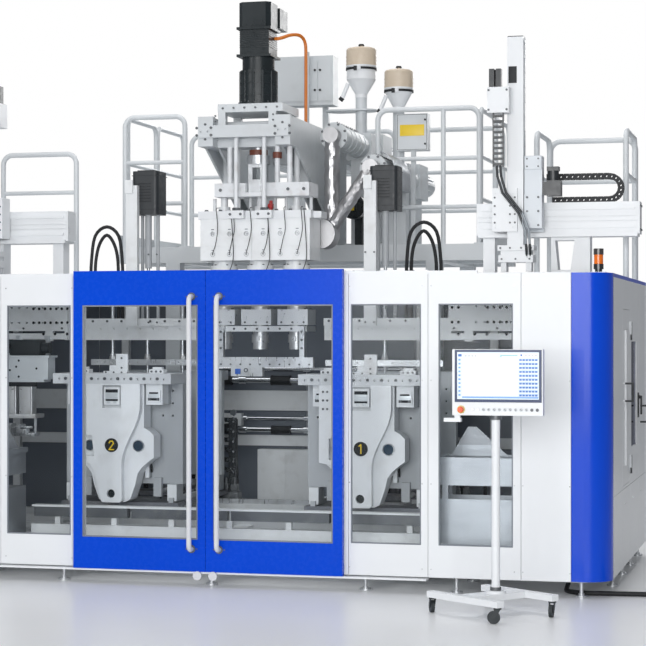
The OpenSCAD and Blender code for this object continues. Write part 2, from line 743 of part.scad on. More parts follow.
// A rod between two points
module rod(p, q, r) {
    d = q - p;
    translate(p) rotate([0, acos(d[2] / norm(d)), atan2(d[1], d[0])]) cylinder(h = norm(d), r = r);
}

// A cable of straight pieces with round joints
module wire(p, r) {
    for (i = [0:len(p) - 2]) rod(p[i], p[i + 1], r);
    for (i = [1:len(p) - 2]) translate(p[i]) sphere(r = r + 0.8, $fn = 20);
}

// Parison head with three outlets
die_x = [head_x - die_pitch, head_x, head_x + die_pitch];
flange_z = head_bot - 68;
module head_block() color(grey) {
    x = [head_x - head_w / 2, head_x + head_w / 2];
    y = [-head_d / 2, head_d / 2];
    difference() {
        span([x[0], y[0], head_bot], [x[1], y[1], head_top]);
        // Joint lines between the blocks
        for (s = [-1, 1]) {
            span([x[0] - 1, s * y[1] - 6, head_split], [x[1] + 1, s * y[1] + 6, head_split + 4]);
            span([-53, s * y[1] - 6, head_bot - 1], [-49, s * y[1] + 6, head_top + 1]);
        }
        for (i = [0:5]) rod_y(y[0] - 1, y[0] + 14, x[0] + 95 + i * 130, head_top - 110, 13);
    }
    for (x = die_x) {
        rod_z(flange_z, flange_z + 34, x, 0, 100);
        rod_z(flange_z + 34, head_bot, x, 0, 82);
        for (a = [30:60:330]) rod_z(flange_z - 12, flange_z, x + 86 * cos(a), 86 * sin(a), 8);
    }
}
cap_z = [head_top, head_top + 58];
module head_cap() color(white) {
    x = [head_x - head_w / 2 - 16, head_x + head_w / 2 + 10];
    y = head_d / 2;
    span([x[0], -y - 8, cap_z[0]], [x[1], y + 8, cap_z[1]]);
    span([x[1], -80, cap_z[0] + 4], [x[1] + 60, 80, cap_z[1] - 6]);
    // Lugs of the two long rods
    for (x = rod_at) span([x - 62, rod_front - 24, cap_z[0]], [x + 62, -y - 8, cap_z[1]]);
}
rod_at = [-160, 55];
rod_front = -190;
module dies() color(steel) {
    body_z = [1770, 1885];
    ledge = [1722, 1762];
    for (x = die_x) {
        rod_z(body_z[1], flange_z, x, 0, 70);
        rod_z(body_z[1] + 60, flange_z - 70, x, 0, 82);
        span([x - 115, -115, body_z[0]], [x + 115, 115, body_z[1]]);
        for (s = [-1, 1]) rod_y(-125, -115, x + s * 80, body_z[0] + 58, 11);
        rod_z(ledge[1], body_z[0], x, 0, 60);
        difference() {
            rod_z(die_end, ledge[0], x, 0, 55);
            rod_z(die_end - 1, ledge[0] - 20, x, 0, 32);
        }
    }
    span([-400, -130, ledge[0]], [360, 130, ledge[1]]);
}
module parison_cutter() color(steel) {
    y = [-180, -130];
    difference() {
        span([-305, y[0], 1458], [423, y[1], 1533]);
        for (i = [0:11]) rod_y(y[0] - 1, y[0] + 10, -275 + i * 61, 1516, 6);
    }
    for (x = [-300, 320]) span([x, y[0], 1533], [x + 36, y[1], 1762]);
    span([-200, y[0] - 12, 1392], [40, y[1], 1458]);
    span([-110, y[0] - 26, 1405], [-50, y[0] - 12, 1450]);
}

// Hanging frame: a yoke on stems, two long rods in front and short columns up to the beams
beam_front = [-230, -150];
tie_z = [3150, 3240];
module head_frame() color(white) {
    for (x = die_x) {
        rod_z(cap_z[1], yoke_z[0], x, 0, 26);
        rod_z(cap_z[1], cap_z[1] + 40, x, 0, 44);
        for (s = [-1, 1]) rod_z(cap_z[1], yoke_z[0], x + s * 95, 60, 13);
    }
    difference() {
        span([-347, -130, yoke_z[0]], [380, 130, yoke_z[1]]);
        span([-110, -131, yoke_z[0] + 30], [20, 60, yoke_z[1] + 1]);
    }
    for (x = rod_at) rod_z(cap_z[1], tie_z[0], x, rod_front, 17);
    for (x = [-235, 130, 225]) rod_z(yoke_z[1], frame_z[0], x, -100, 20);
    for (x = [-235, 225]) rod_z(yoke_z[1], frame_z[0], x, 100, 20);
}
drive_x = -44;
module drive_coupling() color(steel) {
    hole = 60;
    difference() {
        span([drive_x - 62, -60, yoke_z[0] + 30], [drive_x + 62, 50, 2965]);
        span([drive_x - hole / 2, -61, 2850], [drive_x + hole / 2, 51, 2940]);
    }
    rod_z(2965, 3030, drive_x, 0, 88);
    rod_z(3030, frame_z[0], drive_x, 0, 52);
}
module drive_motor() color(black) {
    r = gear_d / 2;
    z = [top_plate_z[1], 3660, 3755, 3800, 3975];
    rod_z(z[0], z[0] + 24, drive_x, 0, r + 14);
    rod_z(z[0] + 24, z[1], drive_x, 0, r);
    for (a = [0:30:330]) rod_z(z[0] + 24, z[1] - 8, drive_x + r * cos(a), r * sin(a), 9);
    rod_z(z[1], z[2], drive_x, 0, r - 18);
    for (q = [z[2], z[4] - 18]) span([drive_x - 132, -132, q], [drive_x + 132, 132, q + 18]);
    span([drive_x - 112, -112, z[2] + 18], [drive_x + 112, 112, z[4] - 18]);
    // Motor housing with its cut corners and the connector box behind it
    translate([drive_x, 0, z[4]]) linear_extrude(185) polygon([[-122, -90], [-90, -122], [90, -122],
        [122, -90], [122, 90], [90, 122], [-90, 122], [-122, 90]]);
    span([drive_x - 110, 120, z[4] + 20], [drive_x + 132, 330, z[4] + 170]);
}

// Extruder frame: two long beams on gussets and rear columns
frame_beam = [[frame_x - frame_w / 2, frame_x - frame_w / 2 + side_beam_w],
    [frame_x + frame_w / 2 - side_beam_w, frame_x + frame_w / 2]];
frame_y = [-170, deck_y[1] - 180];
gusset_y = [deck_y[0] - 70, deck_y[0] + 460];
module extruder_frame() color(grey) {
    lap = deck_z + deck_t;
    for (b = frame_beam) {
        span([b[0], frame_y[0], frame_z[0]], [b[1], frame_y[1], frame_z[1]]);
        span([b[0], beam_front[0], frame_z[0]], [b[1], frame_y[0], frame_z[1] + 8]);
        // Gusset with its ribs, and a rear column
        for (x = [b[0], b[1] - 16]) translate([x, 0, 0]) rotate([90, 0, 90]) linear_extrude(16) polygon([
            [-60, frame_z[0]], [gusset_y[0], 2560], [deck_y[0] + 45, lap], [gusset_y[1], lap],
            [gusset_y[1], frame_z[0]]]);
        for (y = [340, 700]) span([b[0] + 16, y, frame_z[0] - 260], [b[1] - 16, y + 16, frame_z[0]]);
        for (y = [deck_y[0] + 30, gusset_y[1] - 16])
            span([b[0] + 16, y, lap], [b[1] - 16, y + 16, frame_z[0]]);
        span([b[0], frame_y[1] - 160, lap], [b[1], frame_y[1] - 40, frame_z[0]]);
        span([b[0] - 30, frame_y[1] - 190, lap], [b[1] + 30, frame_y[1] - 10, lap + 16]);
    }
    inner = [frame_beam[0][1], frame_beam[1][0]];
    for (y = [-110, gusset_y[1] - 110, frame_y[1] - 110])
        span([inner[0], y, frame_z[0]], [inner[1], y + 110, frame_z[1] - 60]);
    span([inner[0], 0, frame_z[0]], [inner[1], 110, frame_z[1] - 60]);
    // Front tie with bolt holes, posts and the drive's plate
    difference() {
        span([frame_beam[0][0] + 6, beam_front[0] - 20, tie_z[0]],
            [frame_beam[1][1] - 6, beam_front[0], tie_z[1]]);
        for (s = [-1, 1], i = [0, 55]) rod_y(beam_front[0] - 21, beam_front[0] - 8,
            frame_x + s * (325 - i), 3195, 8);
    }
    span([inner[0], beam_front[0], tie_z[0]], [inner[1], beam_front[1], tie_z[1]]);
    for (x = [-287, 99]) for (y = [beam_front[0], 150])
        span([x, y, frame_z[1] - 60], [x + 56, y + 56, top_plate_z[0]]);
    span([inner[0], 110, frame_z[1] - 90], [inner[1], 210, frame_z[1] - 60]);
    span([-290, beam_front[0], top_plate_z[0]], [205, 220, top_plate_z[1]]);
    rod_x(inner[0], inner[1], -130, frame_z[1] - 40, 14);
}

// Platform on posts through the roof
module platform() color(grey) {
    post = deck_beam;
    beam = [deck_z - deck_beam, deck_z];
    for (x = [-deck_post_x, deck_post_x]) {
        span([x - post / 2, deck_y[0], base_z[1]], [x + post / 2, deck_y[0] + post, beam[0]]);
        span([x - post / 2, deck_y[1] - post, 0], [x + post / 2, deck_y[1], beam[0]]);
        span([x - 100, deck_y[1] - post - 40, 0], [x + 100, deck_y[1] + 20, 12]);
        span([x - post / 2, deck_y[0], beam[0]], [x + post / 2, deck_y[1], beam[1]]);
    }
    for (y = [deck_y[0], (deck_y[0] + deck_y[1] - post) / 2, deck_y[1] - post])
        span([deck_x[0], y, beam[0]], [deck_x[1], y + post, beam[1]]);
    span([deck_x[0], deck_y[0], deck_z], [deck_x[1], deck_y[1], deck_z + deck_t]);
    // Kick plate
    for (x = deck_x) span([x - (x > 0 ? 6 : 0), deck_y[0], deck_z + deck_t],
        [x + (x > 0 ? 0 : 6), deck_y[1], deck_z + 110]);
}

// Two extruders: barrel with heater bands, throat, gearbox and motor
ext_1 = [445, 3200];
ext_2 = [752, 2950];
throat_y = deck_y[0] + 220;
ext_y = [350, throat_y + 1050];
module extruder(at, hopper_z) translate([at[0], 0, 0]) {
    z = at[1];
    r = barrel_d / 2;
    deck = deck_z + deck_t;
    box_y = throat_y + 270;
    difference() {
        rod_y(ext_y[0], box_y - 100, 0, z, r);
        rod_y(ext_y[0] - 1, ext_y[0] + 60, 0, z, r - 30);
    }
    for (y = [440:140:1000]) rod_y(y, y + 105, 0, z, r + 17);
    rod_y(ext_y[0], ext_y[0] + 36, 0, z, r + 26);
    // Feed throat and hopper neck
    span([-100, throat_y - 90, z - 105], [100, throat_y + 90, z + 105]);
    rod_z(z + 105, hopper_z, 0, throat_y, 46);
    // Gearbox, adapter and motor
    rod_y(box_y - 100, box_y, 0, z, r + 30);
    span([-115, box_y, z - 150], [115, box_y + 340, z + 130]);
    rod_y(box_y + 340, box_y + 380, 0, z, 100);
    rod_y(box_y + 380, ext_y[1], 0, z, 88);
    for (a = [0:30:330]) rod_y(box_y + 410, ext_y[1] - 40, 92 * cos(a), z + 92 * sin(a), 5);
    // Stands on the deck
    for (y = [[throat_y - 60, throat_y + 60, 105], [box_y + 40, box_y + 300, 150]])
        span([-70, y[0], deck], [70, y[1], z - y[2]]);
    for (y = [throat_y, box_y + 170]) span([-100, y - 150, deck], [100, y + 150, deck + 14]);
}
feed_z = [3597, 3490];
module extruders() color(grey) {
    extruder(ext_1, feed_z[0]);
    extruder(ext_2, feed_z[1]);
    // Oval plate under the first hopper, round its neck
    off = 80;
    reach = 100;
    translate([ext_1[0] - off, throat_y, feed_z[0] - 109]) linear_extrude(12) difference() {
        union() {
            square([2 * reach, 220], center = true);
            for (s = [-1, 1]) translate([s * reach, 0]) circle(r = 110);
        }
        translate([off, 0]) circle(r = 46);
    }
}
module barrel_guard() color(steel) {
    // Half shell over the second barrel's front part, carried by short studs on two heater bands
    x = ext_2[0];
    z = ext_2[1];
    y = [460, deck_y[0]];
    difference() {
        union() {
            rod_y(y[0], y[1], x, z, 140);
            span([x + 20, y[0], z - 140], [x + 140, y[1], z]);
        }
        rod_y(y[0] - 1, y[1] + 1, x, z, 136);
        span([x - 141, y[0] - 1, z - 141], [x + 20, y[1] + 1, z + 141]);
    }
    for (q = [510, 912]) rod_x(x + barrel_d / 2 + 17 + gap, x + 137, q, z, 6);
}
module hopper_shape(x, z, h, r) translate([x, throat_y, 0]) {
    rotate_extrude() polygon([[0, z], [48, z], [48, z + 28], [r, z + 145], [r, z + h], [r + 6, z + h],
        [r + 6, z + h + 10], [0, z + h + 10]]);
    span([-24, -r - 16, z + h - 34], [24, -r + 6, z + h]);
    rod([-r + 14, -20, z + 118], [-r - 34, -20, z + 4], 17);
}
module hoppers() color(white) {
    hopper_shape(ext_1[0], feed_z[0], 245, hopper_d / 2);
    hopper_shape(ext_2[0], feed_z[1], 165, hopper_d / 2 - 6);
}
module hopper_lids() color(beige) for (h = [[ext_1[0], feed_z[0] + 255, hopper_d / 2],
    [ext_2[0], feed_z[1] + 175, hopper_d / 2 - 6]]) translate([h[0], throat_y, h[1]]) {
    r = h[2];
    rotate_extrude() polygon([[0, 0], [r + 3, 0], [r + 3, 128], [r - 4, 138], [r - 20, 144], [0, 146]]);
    rod_z(146, 162, 0, 0, 14);
}
module control_box() color(grey) {
    x = [-261, 234];
    z = [frame_z[1] + 240, frame_z[1] + 635];
    y = deck_y[0] + 130;
    leg_y = y + 240;
    span([x[0], y, z[0]], [x[1], y + 170, z[1]]);
    span([x[0] + 14, y - 6, z[0] + 34], [x[1] - 130, y, z[1] - 34]);
    span([x[1] - 116, y - 6, z[0] + 34], [x[1] - 14, y, z[1] - 34]);
    // Legs down to the cross beam, and a pole
    for (q = [x[0] + 60, x[1] - 150]) {
        span([q, leg_y, frame_z[1] - 60], [q + 50, leg_y + 50, z[0] + 80]);
        span([q, y + 170, z[0] + 20], [q + 50, leg_y, z[0] + 80]);
    }
    pole_y = y - 32;
    rod_z(frame_z[1], z[1] + 27, 30, pole_y, 16);
    span([14, pole_y, z[0] + 160], [46, y - 6, z[0] + 200]);
    span([frame_beam[0][1], pole_y - 18, frame_z[1] - 20], [frame_beam[1][0], pole_y + 18, frame_z[1]]);
    // Cabinet beside the second extruder, on its own leg
    cab = [ext_2[0] + 18, deck_y[0] + 55, 3150];
    deck = deck_z + deck_t;
    span(cab, cab + [250, 105, 290]);
    span([cab[0] + 110, cab[1] + 30, deck], [cab[0] + 145, cab[1] + 65, cab[2]]);
    span([cab[0] + 90, cab[1] + 15, deck], [cab[0] + 185, cab[1] + 80, deck + 8]);
}
module blower() color(black) {
    at = [472, deck_y[0] - 130, 2700];
    deck = deck_z + deck_t;
    rod_y(at[1] - 60, at[1] + 20, at[0], at[2], 98);
    rod_y(at[1] + 20, at[1] + 220, at[0], at[2], 84);
    span([at[0] - 34, at[1] - 66, at[2] - 34], [at[0] + 34, at[1] - 60, at[2] + 34]);
    span([at[0] + 60, at[1] - 40, at[2] - 20], [at[0] + 150, at[1] + 10, at[2] + 40]);
    span([at[0] - 30, at[1] + 140, deck], [at[0] + 30, at[1] + 190, at[2] - 70]);
}
module melt_pipe() color(steel) {
    y = ext_y[0] - 70;
    low = 2455;
    rod_y(head_d / 2, y + 60, 335, low, 50);
    rod_y(head_d / 2 + 20, y + 70, 385, low, 112);
    rod_z(low, ext_1[1], ext_1[0], y + 16, 52);
    rod_y(y - 40, ext_y[0], ext_1[0], ext_1[1], 60);
    rod([420, y, low], [ext_2[0], y, ext_2[1]], 46);
    rod_y(y - 50, ext_y[0], ext_2[0], ext_2[1], 60);
}
module motor_cable() color(orange) sweep(smooth([[drive_x + 112.3, 40, 3905], [drive_x + 126, 40, 3905],
    [drive_x + 140, 40, 3905], [drive_x + 170, 64, 3916], [170, 140, 3945], [215, 230, 3950],
        [238, 290, 3900],
    [240, 300, 3760], [240, 300, 3500], [240, 300, frame_z[1] + gap]], 4), 13);

// A quarter bend of tube in the XZ plane, or in the YZ plane when along_y is true
module bend(at, along_y, start, radius, r) translate(at) rotate([90, 0, along_y ? 90 : 0])
    rotate([0, 0, start]) rotate_extrude(angle = 90) translate([radius, 0]) circle(r = r);

// Guard rail panel along X: two posts, a top tube with round corners and lower rails
rail_r = rail_d / 2;
module rail_panel(len, z0, z1, mids) {
    c = 80;
    for (x = [0, len]) {
        rod_z(z0, z1 - c, x, 0, rail_r);
        span([x - 38, -28, z0], [x + 38, 28, z0 + 8]);
    }
    bend([c, 0, z1 - c], false, 90, c, rail_r);
    bend([len - c, 0, z1 - c], false, 0, c, rail_r);
    rod_x(c, len - c, 0, z1, rail_r);
    for (z = mids) rod_x(0, len, 0, z, rail_r - 4);
}
module guard_rails() color(grey) {
    z0 = deck_z + deck_t;
    mids = [z0 + 357, z0 + 692];
    left = [deck_x[0] + 45, -980];
    middle = [ext_2[0] - 127, deck_x[1] - 45];
    translate([left[0], guard_y, 0]) rail_panel(left[1] - left[0], z0, guard_top, mids);
    translate([middle[0], guard_y, 0])
        rail_panel(middle[1] - middle[0], z0, guard_top, [z0 + 292, z0 + 672]);
    rod_z(z0, guard_top, (middle[0] + middle[1]) / 2 + 120, guard_y, rail_r - 2);
    side = deck_y[1] - guard_y - 110;
    for (x = [left[0], middle[1]]) for (i = [0, 1])
        translate([x, guard_y + 60 + i * side / 2, 0]) rotate([0, 0, 90])
            rail_panel(side / 2 - 30, z0, guard_top, mids);
    for (i = [0:2]) translate([left[0] + 60 + i * 950, deck_y[1] - 30, 0])
        rail_panel(910, z0, guard_top, mids);
    // Rails on the roof
    roof = [half_w - 730, half_w - 75];
    top = panel_top + roof_t;
    high = top + 1095;
    low = [top + 415, top + 775];
    both_sides() translate([roof[0], rear_y - 60, 0]) rail_panel(roof[1] - roof[0], top, high, low);
    for (x = roof) translate([x, rear_y - 810, 0]) rotate([0, 0, 90]) rail_panel(690, top, high, low);
}

// Robot beams with their guide rails, on pedestals that stand on the roof
rail_at = [2472, 2604];
module robot_beam() {
    y = [beam_y0, beam_y0 + beam_d];
    z = [beam_z0, beam_z0 + beam_h];
    top = panel_top + roof_t;
    difference() {
        span([beam_x[0], y[0], z[0]], [beam_x[1], y[1], z[1]]);
        for (q = [z[0] + 78, z[0] + 112]) span([beam_x[0] - 1, y[0] - 1, q],
            [beam_x[1] + 1, y[0] + 9, q + 10]);
        for (q = [z[0] + 18, z[1] - 30]) span([beam_x[0] - 1, y[1] - 9, q],
            [beam_x[1] + 1, y[1] + 1, q + 10]);
    }
    for (q = rail_at) span([beam_x[0] + 20, y[0] - 10, q - 10], [beam_x[1] - 20, y[0], q + 10]);
    for (x = [beam_x[0] - 14, beam_x[1]]) difference() {
        span([x, y[0] + 2, z[0] - 8], [x + 14, y[1], z[1]]);
        for (q = [60, 90]) rod_x(x - 1, x + 15, y[0] + 40, z[0] + q, 8);
    }
    span([beam_x[0], y[0] - 30, z[0] - 26], [beam_x[1], y[1], z[0]]);
    // Pedestals
    difference() {
        span([2130, y[0] + 10, top], [2410, y[1] - 10, z[0] - 26]);
        translate([0, y[1] + 1, 0]) rotate([90, 0, 0]) linear_extrude(beam_d + 2) polygon([
            [2160, z[0] - 50], [2300, z[0] - 50], [2270, top + 60], [2180, top + 60]]);
    }
    span([1635, y[0] + 20, top], [1720, y[1] - 20, z[0] - 26]);
    for (x = [[1605, 1750], [2110, 2430]]) span([x[0], y[0], top], [x[1], y[1], top + 14]);
}
module robot_beams() color(white) both_sides() robot_beam();

// One link of a cable chain: two side plates, two cross bars; it lies along X, w wide in Y
module chain_link(len, w, h) {
    for (y = [0, w - 8]) difference() {
        span([-2, y, 0], [len + 2, y + 8, h]);
        rod_y(y - 1, y + 9, len * 0.5, h / 2, h * 0.2);
    }
    for (z = [0, h - 6]) span([len * 0.25, 0, z], [len * 0.65, w, z + 6]);
}
chain_y = 130;
chain_h = 44;
function bow(c, r, n) = [for (i = [0:n]) let (a = 180 * i / n - 90) [c[0] + r * cos(a), c[1] + r * sin(a)]];
module drag_chain(shift) {
    pitch = 41;
    w = 62;
    r = 106;
    bends = 8;
    plate = 8;
    bar = 6;
    z0 = beam_z0 + beam_h;
    end = 2540 + shift / 2;
    links = [ceil((end - 2160 - shift) / pitch), ceil((end - 2095 - shift) / pitch)];
    start = [end - links[0] * pitch, end - links[1] * pitch];
    c = [end, z0 + r];
    inner = bow(c, r - chain_h, bends);
    side = concat([[start[0], z0]], bow(c, r, bends),
        [[start[1], z0 + 2 * r], [start[1], z0 + 2 * r - chain_h]],
        [for (i = [bends:-1:0]) inner[i]], [[start[0], z0 + chain_h]]);
    difference() {
        union() {
            for (y = [plate, w]) translate([0, chain_y + y, 0]) rotate([90, 0, 0]) linear_extrude(plate)
                polygon(side);
            for (k = [0, 1], i = [1:links[k]], z = [1, chain_h - bar - 1])
                translate([end - (i - 0.5) * pitch, chain_y, z0 + k * (2 * r - chain_h) + z])
                    span([-8, 4, 0], [8, w - 4, bar]);
            for (i = [1:bends], q = [r - bar - 4, r - chain_h + 2])
                chain_turn(c, (i - 0.5) * 180 / bends - 90)
                span([q, 4, -8], [q + bar, w - 4, 8]);
        }
        // Joints between the links, and the eyes of the link pins
        for (k = [0, 1], i = [1:links[k] - 1], z = [-1, chain_h - 7])
            translate([end - i * pitch, chain_y, z0 + k * (2 * r - chain_h) + z])
                span([-1.5, -1, 0], [1.5, w + 1, 8]);
        for (i = [0:bends]) chain_turn(c, i * 180 / bends - 90) span([r - 8, -1, -1.5], [r + 1, w + 1, 1.5]);
        for (k = [0, 1], i = [1:links[k]])
            translate([end - (i - 0.5) * pitch, chain_y, z0 + k * (2 * r - chain_h) + chain_h / 2])
                rod_y(-1, w + 1, 0, 0, 8);
        for (i = [1:bends]) chain_turn(c, (i - 0.5) * 180 / bends - 90)
            rod_y(-1, w + 1, r - chain_h / 2 - 1, 0, 8);
    }
}
module chain_turn(c, angle) translate([c[0], chain_y, c[1]]) rotate([0, -angle, 0]) children();
module drag_chains() color(black) {
    drag_chain(0);
    mirror([1, 0, 0]) drag_chain(left_shift);
}
module hose_loops() color(black) both_sides() {
    y = -64;
    foot = blow_beam_z[2] + gap;
    roof = panel_top + roof_t + gap;
    for (h = [[1095, 1352, 2515], [1130, 1317, 2452]]) {
        mid = (h[0] + h[1]) / 2;
        sweep(smooth([[h[0], y, foot], [h[0], y, 2000], [h[0] + 4, y, 2250], [h[0] + 34, y, h[2] - 70],
            [mid, y, h[2]], [h[1] - 34, y, h[2] - 70], [h[1] - 4, y, 2250], [h[1], y, roof]], 4), 13);
    }
}
module signal_light() color(orange) translate([half_w - 115, front_y + 350, panel_top + roof_t]) {
    cylinder(h = 26, r = 24);
    translate([0, 0, 26]) cylinder(h = 34, r = 33);
    translate([0, 0, 60]) cylinder(h = 62, r = 30);
    translate([0, 0, 122]) cylinder(h = 40, r = 33);
}

// Robot carriage: a back plate on four blocks, a front plate, side plates and the drive housing
plate_y = [arm_y[1] + gap, 40];
module carriage() {
    z = [2436, 2747];
    x = [1732, 2085];
    side = arm_x + arm_w + 7;
    span([x[0], plate_y[0], z[0]], [x[1], plate_y[1], z[1]]);
    for (q = rail_at, at = [x[0] + 20, x[1] - 110]) difference() {
        span([at, plate_y[1], q - 28], [at + 90, beam_y0 - gap, q + 28]);
        span([at - 1, beam_y0 - 10 - gap, q - 10 - gap], [at + 91, beam_y0, q + 10 + gap]);
    }
    span([x[0], arm_y[0] - gap, z[0]], [arm_x - 36, plate_y[0], z[1]]);
    difference() {
        span([x[0], arm_y[0] - 25, z[0]], [arm_x + 76, arm_y[0] - gap, z[1]]);
        for (i = [0, 1], j = [0, 1]) rod_y(arm_y[0] - 26, arm_y[0] - 17, x[0] + 26 + i * 128,
            z[0] + 30 + j * 240, 7);
    }
    span([side, arm_y[0] - 4, 2459], [x[1], plate_y[0], 2700]);
    span([side, arm_y[0] + 12, 2700], [x[1], plate_y[0] + 8, 2976]);
    span([side + 4, arm_y[0] - 8, 2880], [x[1] - 6, arm_y[0] + 12, 2976]);
    // Servo motor and its gearbox, and the finger that leads the cable chain
    span([x[1], -50, 2700], [x[1] + 30, 40, 2790]);
    span([x[1] + 30, -56, 2690], [x[1] + 130, 46, 2800]);
    rod_z(2800, 2870, x[1] + 72, -5, 40);
    span([x[1] + 30, -44, 2870], [x[1] + 115, 34, 2900]);
    span([x[1] - 60, plate_y[0] + 8, 2830], [x[1] - 20, chain_y - 4, 2870]);
}
module right_carriage() color(white) carriage();
module left_carriage() color(white) mirror([1, 0, 0]) translate([left_shift, 0, 0]) carriage();

// Vertical arm with its cable chain, brackets, gripper head and the two cables down to it
module arm() {
    x = [arm_x, arm_x + arm_w];
    z = [2338, 2338 + arm_len];
    wall = 8;
    difference() {
        span([x[0], arm_y[0], z[0]], [x[1], arm_y[1], z[1]]);
        span([x[0] + wall, arm_y[0] + wall, z[0] + 40], [x[1] - wall, arm_y[1] - wall, z[1] + 1]);
    }
    span([x[1], -46, z[0] + 60], [x[1] + 4.5, -16, z[1] - 8]);
    // Chain and its brackets
    chain = [1748, 2897];
    pitch = 38;
    for (i = [0:9]) translate([chain[0] + 78, -152, chain[1] + i * pitch]) rotate([0, -90, 0])
        rotate([90, 0, 0]) chain_link(pitch, 78, 37);
    span([1709, -192, 3279], [x[0], arm_y[0] + 20, 3462]);
    span([x[0], -192, 3279], [1865, arm_y[0], 3462]);
    for (q = [0, 50]) span([1719 + q, -172, 3462], [1756 + q, -110, 3595]);
    span([1719, -120, 3462], [1806, -110, 3595]);
    // Gripper head
    span([1770, -105, 2300], [2030, 45, z[0]]);
    span([1790, -92, 2268], [2010, 32, 2300]);
    span([1776, -105, 2216], [2024, 45, 2268]);
    for (q = [1790, 1970]) span([q, -80, 2150], [q + 40, 20, 2216]);
    for (d = [0, 26]) translate([d, 0, 0]) wire([[1774, -166, 2904], [1778, -156, 2830], [1812, -142, 2710],
        [1930, -138, 2560], [1974, -134, 2440], [1980, -120, 2310], [1980, -96, 2246]], 9);
}
module right_arm() color(white) arm();
module left_arm() color(white) mirror([1, 0, 0]) translate([left_shift, 0, 0]) arm();

// Operator panel on its stand: housing, bezel round the screen, keys and a four-legged base
stop_at = [1895, 1246];
hmi_front = hmi_y - hmi_t;
stem_r = 8;
fork_r = 6;
post_at = [2100, -2176];
base_at = [2077, -2176];
leg_z = [caster_fork, caster_fork + 38];
corners = [[-1, 1], [-1, -1], [1, -1], [1, 1]];
function corner_of(i) = let (c = corners[i], p = [c[0] * leg_len / 2 * 0.92, c[1] * leg_off])
    base_at + [p[0] * cos(stand_turn) - p[1] * sin(stand_turn),
        p[0] * sin(stand_turn) + p[1] * cos(stand_turn)];
module hmi_stand() color(white) {
    x = [hmi_x - hmi_w / 2, hmi_x + hmi_w / 2];
    z = [hmi_z, hmi_z + hmi_h];
    lip = 6;
    difference() {
        union() {
            span([x[0], hmi_front, z[0]], [x[1], hmi_y, z[1]]);
            rod_y(hmi_front - lip, hmi_front, stop_at[0], stop_at[1], 24);
            span([x[0] + 16, hmi_front - lip, z[0] + 80], [x[1] - 8, hmi_front, z[1] - 3]);
        }
        span([x[0] + 44, hmi_front - lip - 1, z[0] + 118], [x[1] - 36, hmi_front - 2, z[1] - 34]);
        rod_y(hmi_front - lip - 1, hmi_front + 25, stop_at[0], stop_at[1], stem_r + run);
    }
    span([x[0] + 40, hmi_y, z[0] + 40], [x[1] - 40, hmi_y + 36, z[1] - 40]);
    for (i = [0:12]) span([1957 + i * 32.8, hmi_front - 4, stop_at[1] - 8],
        [1975 + i * 32.8, hmi_front, stop_at[1] + 8]);
    // Tray under the left corner
    span([1787, hmi_front + 4, 1170], [1891, hmi_front + 50, 1193]);
    span([1852, hmi_front + 12, 1193], [1884, hmi_front + 40, z[0]]);
    // Post and base
    rod_z(leg_z[1], z[0], post_at[0], post_at[1], post_d / 2);
    rod_z(leg_z[1], leg_z[1] + 16, post_at[0], post_at[1], 62);
    difference() {
        translate([base_at[0], base_at[1], leg_z[0]]) rotate([0, 0, stand_turn]) {
            for (s = [-1, 1]) span([-leg_len / 2, s * leg_off - 28, 0], [leg_len / 2, s * leg_off + 28, 38]);
            span([-62, -leg_off, 0], [86, leg_off, 38]);
        }
        for (i = [0:3]) rod_z(leg_z[0] - 1, leg_z[0] + 25, corner_of(i)[0], corner_of(i)[1], fork_r + run);
    }
}
module e_stop() color([0.8, 0.05, 0.05]) {
    rod_y(hmi_front - 30, hmi_front - 14, stop_at[0], stop_at[1], 17);
    rod_y(hmi_front - 14, hmi_front + 15, stop_at[0], stop_at[1], stem_r);
}
// Caster: wheel in its fork behind the swivel stem
module caster(i) color(charcoal) translate([corner_of(i)[0], corner_of(i)[1], 0])
    rotate([0, 0, 40 + i * 75]) {
    trail = 22;
    r = wheel_d / 2;
    rod_z(caster_fork - 10, caster_fork - gap, 0, 0, 24);
    rod_z(caster_fork - gap, caster_fork + 20, 0, 0, fork_r);
    for (s = [-1, 1]) translate([0, s * 15 + 2, 0]) rotate([90, 0, 0]) linear_extrude(4)
        polygon([[-18, caster_fork - 8], [18, caster_fork - 8], [trail + 14, r], [trail, r - 12],
            [trail - 14, r]]);
    span([-18, -17, caster_fork - 12], [18, 17, caster_fork - 8]);
    rod_y(-11, 11, trail, r, r);
    rod_y(-17, 17, trail, r, 7);
}
module caster_1() caster(0);
module caster_2() caster(1);
module caster_3() caster(2);
module caster_4() caster(3);

// Supply cable on the floor, and its unseen length as a coil
module floor_cable() color(black) translate([half_w, 0, 0]) sweep(smooth(cable_way, 4), cable_r, 10);
module cable_coil() color(black) translate([half_w + coil_c[0], coil_c[1], 0]) rotate_extrude($fn = 72)
    for (i = [0, 1], j = [0:2]) translate([coil_r + 32 * i, 17 + 32 * j]) circle(r = 17, $fn = 20);

levelling_feet();
base_frame();
front_panels();
window_panes();
corner_columns();
end_panels();
end_door();
rear_and_roof_panels();
door_rails();
bed_frame();
bed_beams();
shuttle_rails();
discharge_chutes();
blow_frames();
head_block();
head_cap();
dies();
parison_cutter();
head_frame();
drive_coupling();
drive_motor();
extruder_frame();
platform();
extruders();
barrel_guard();
hoppers();
hopper_lids();
control_box();
motor_cable();
blower();
melt_pipe();
guard_rails();
robot_beams();
drag_chains();
hose_loops();
signal_light();
hmi_stand();
left_door();
right_door();
left_door_pane();
right_door_pane();
left_shuttle();
right_shuttle();
left_casting();
right_casting();
left_rear_platen();
right_rear_platen();
left_blow_head();
right_blow_head();
left_carriage();
left_arm();
right_carriage();
right_arm();
e_stop();
caster_1();
caster_2();
caster_3();
caster_4();
floor_cable();
cable_coil();
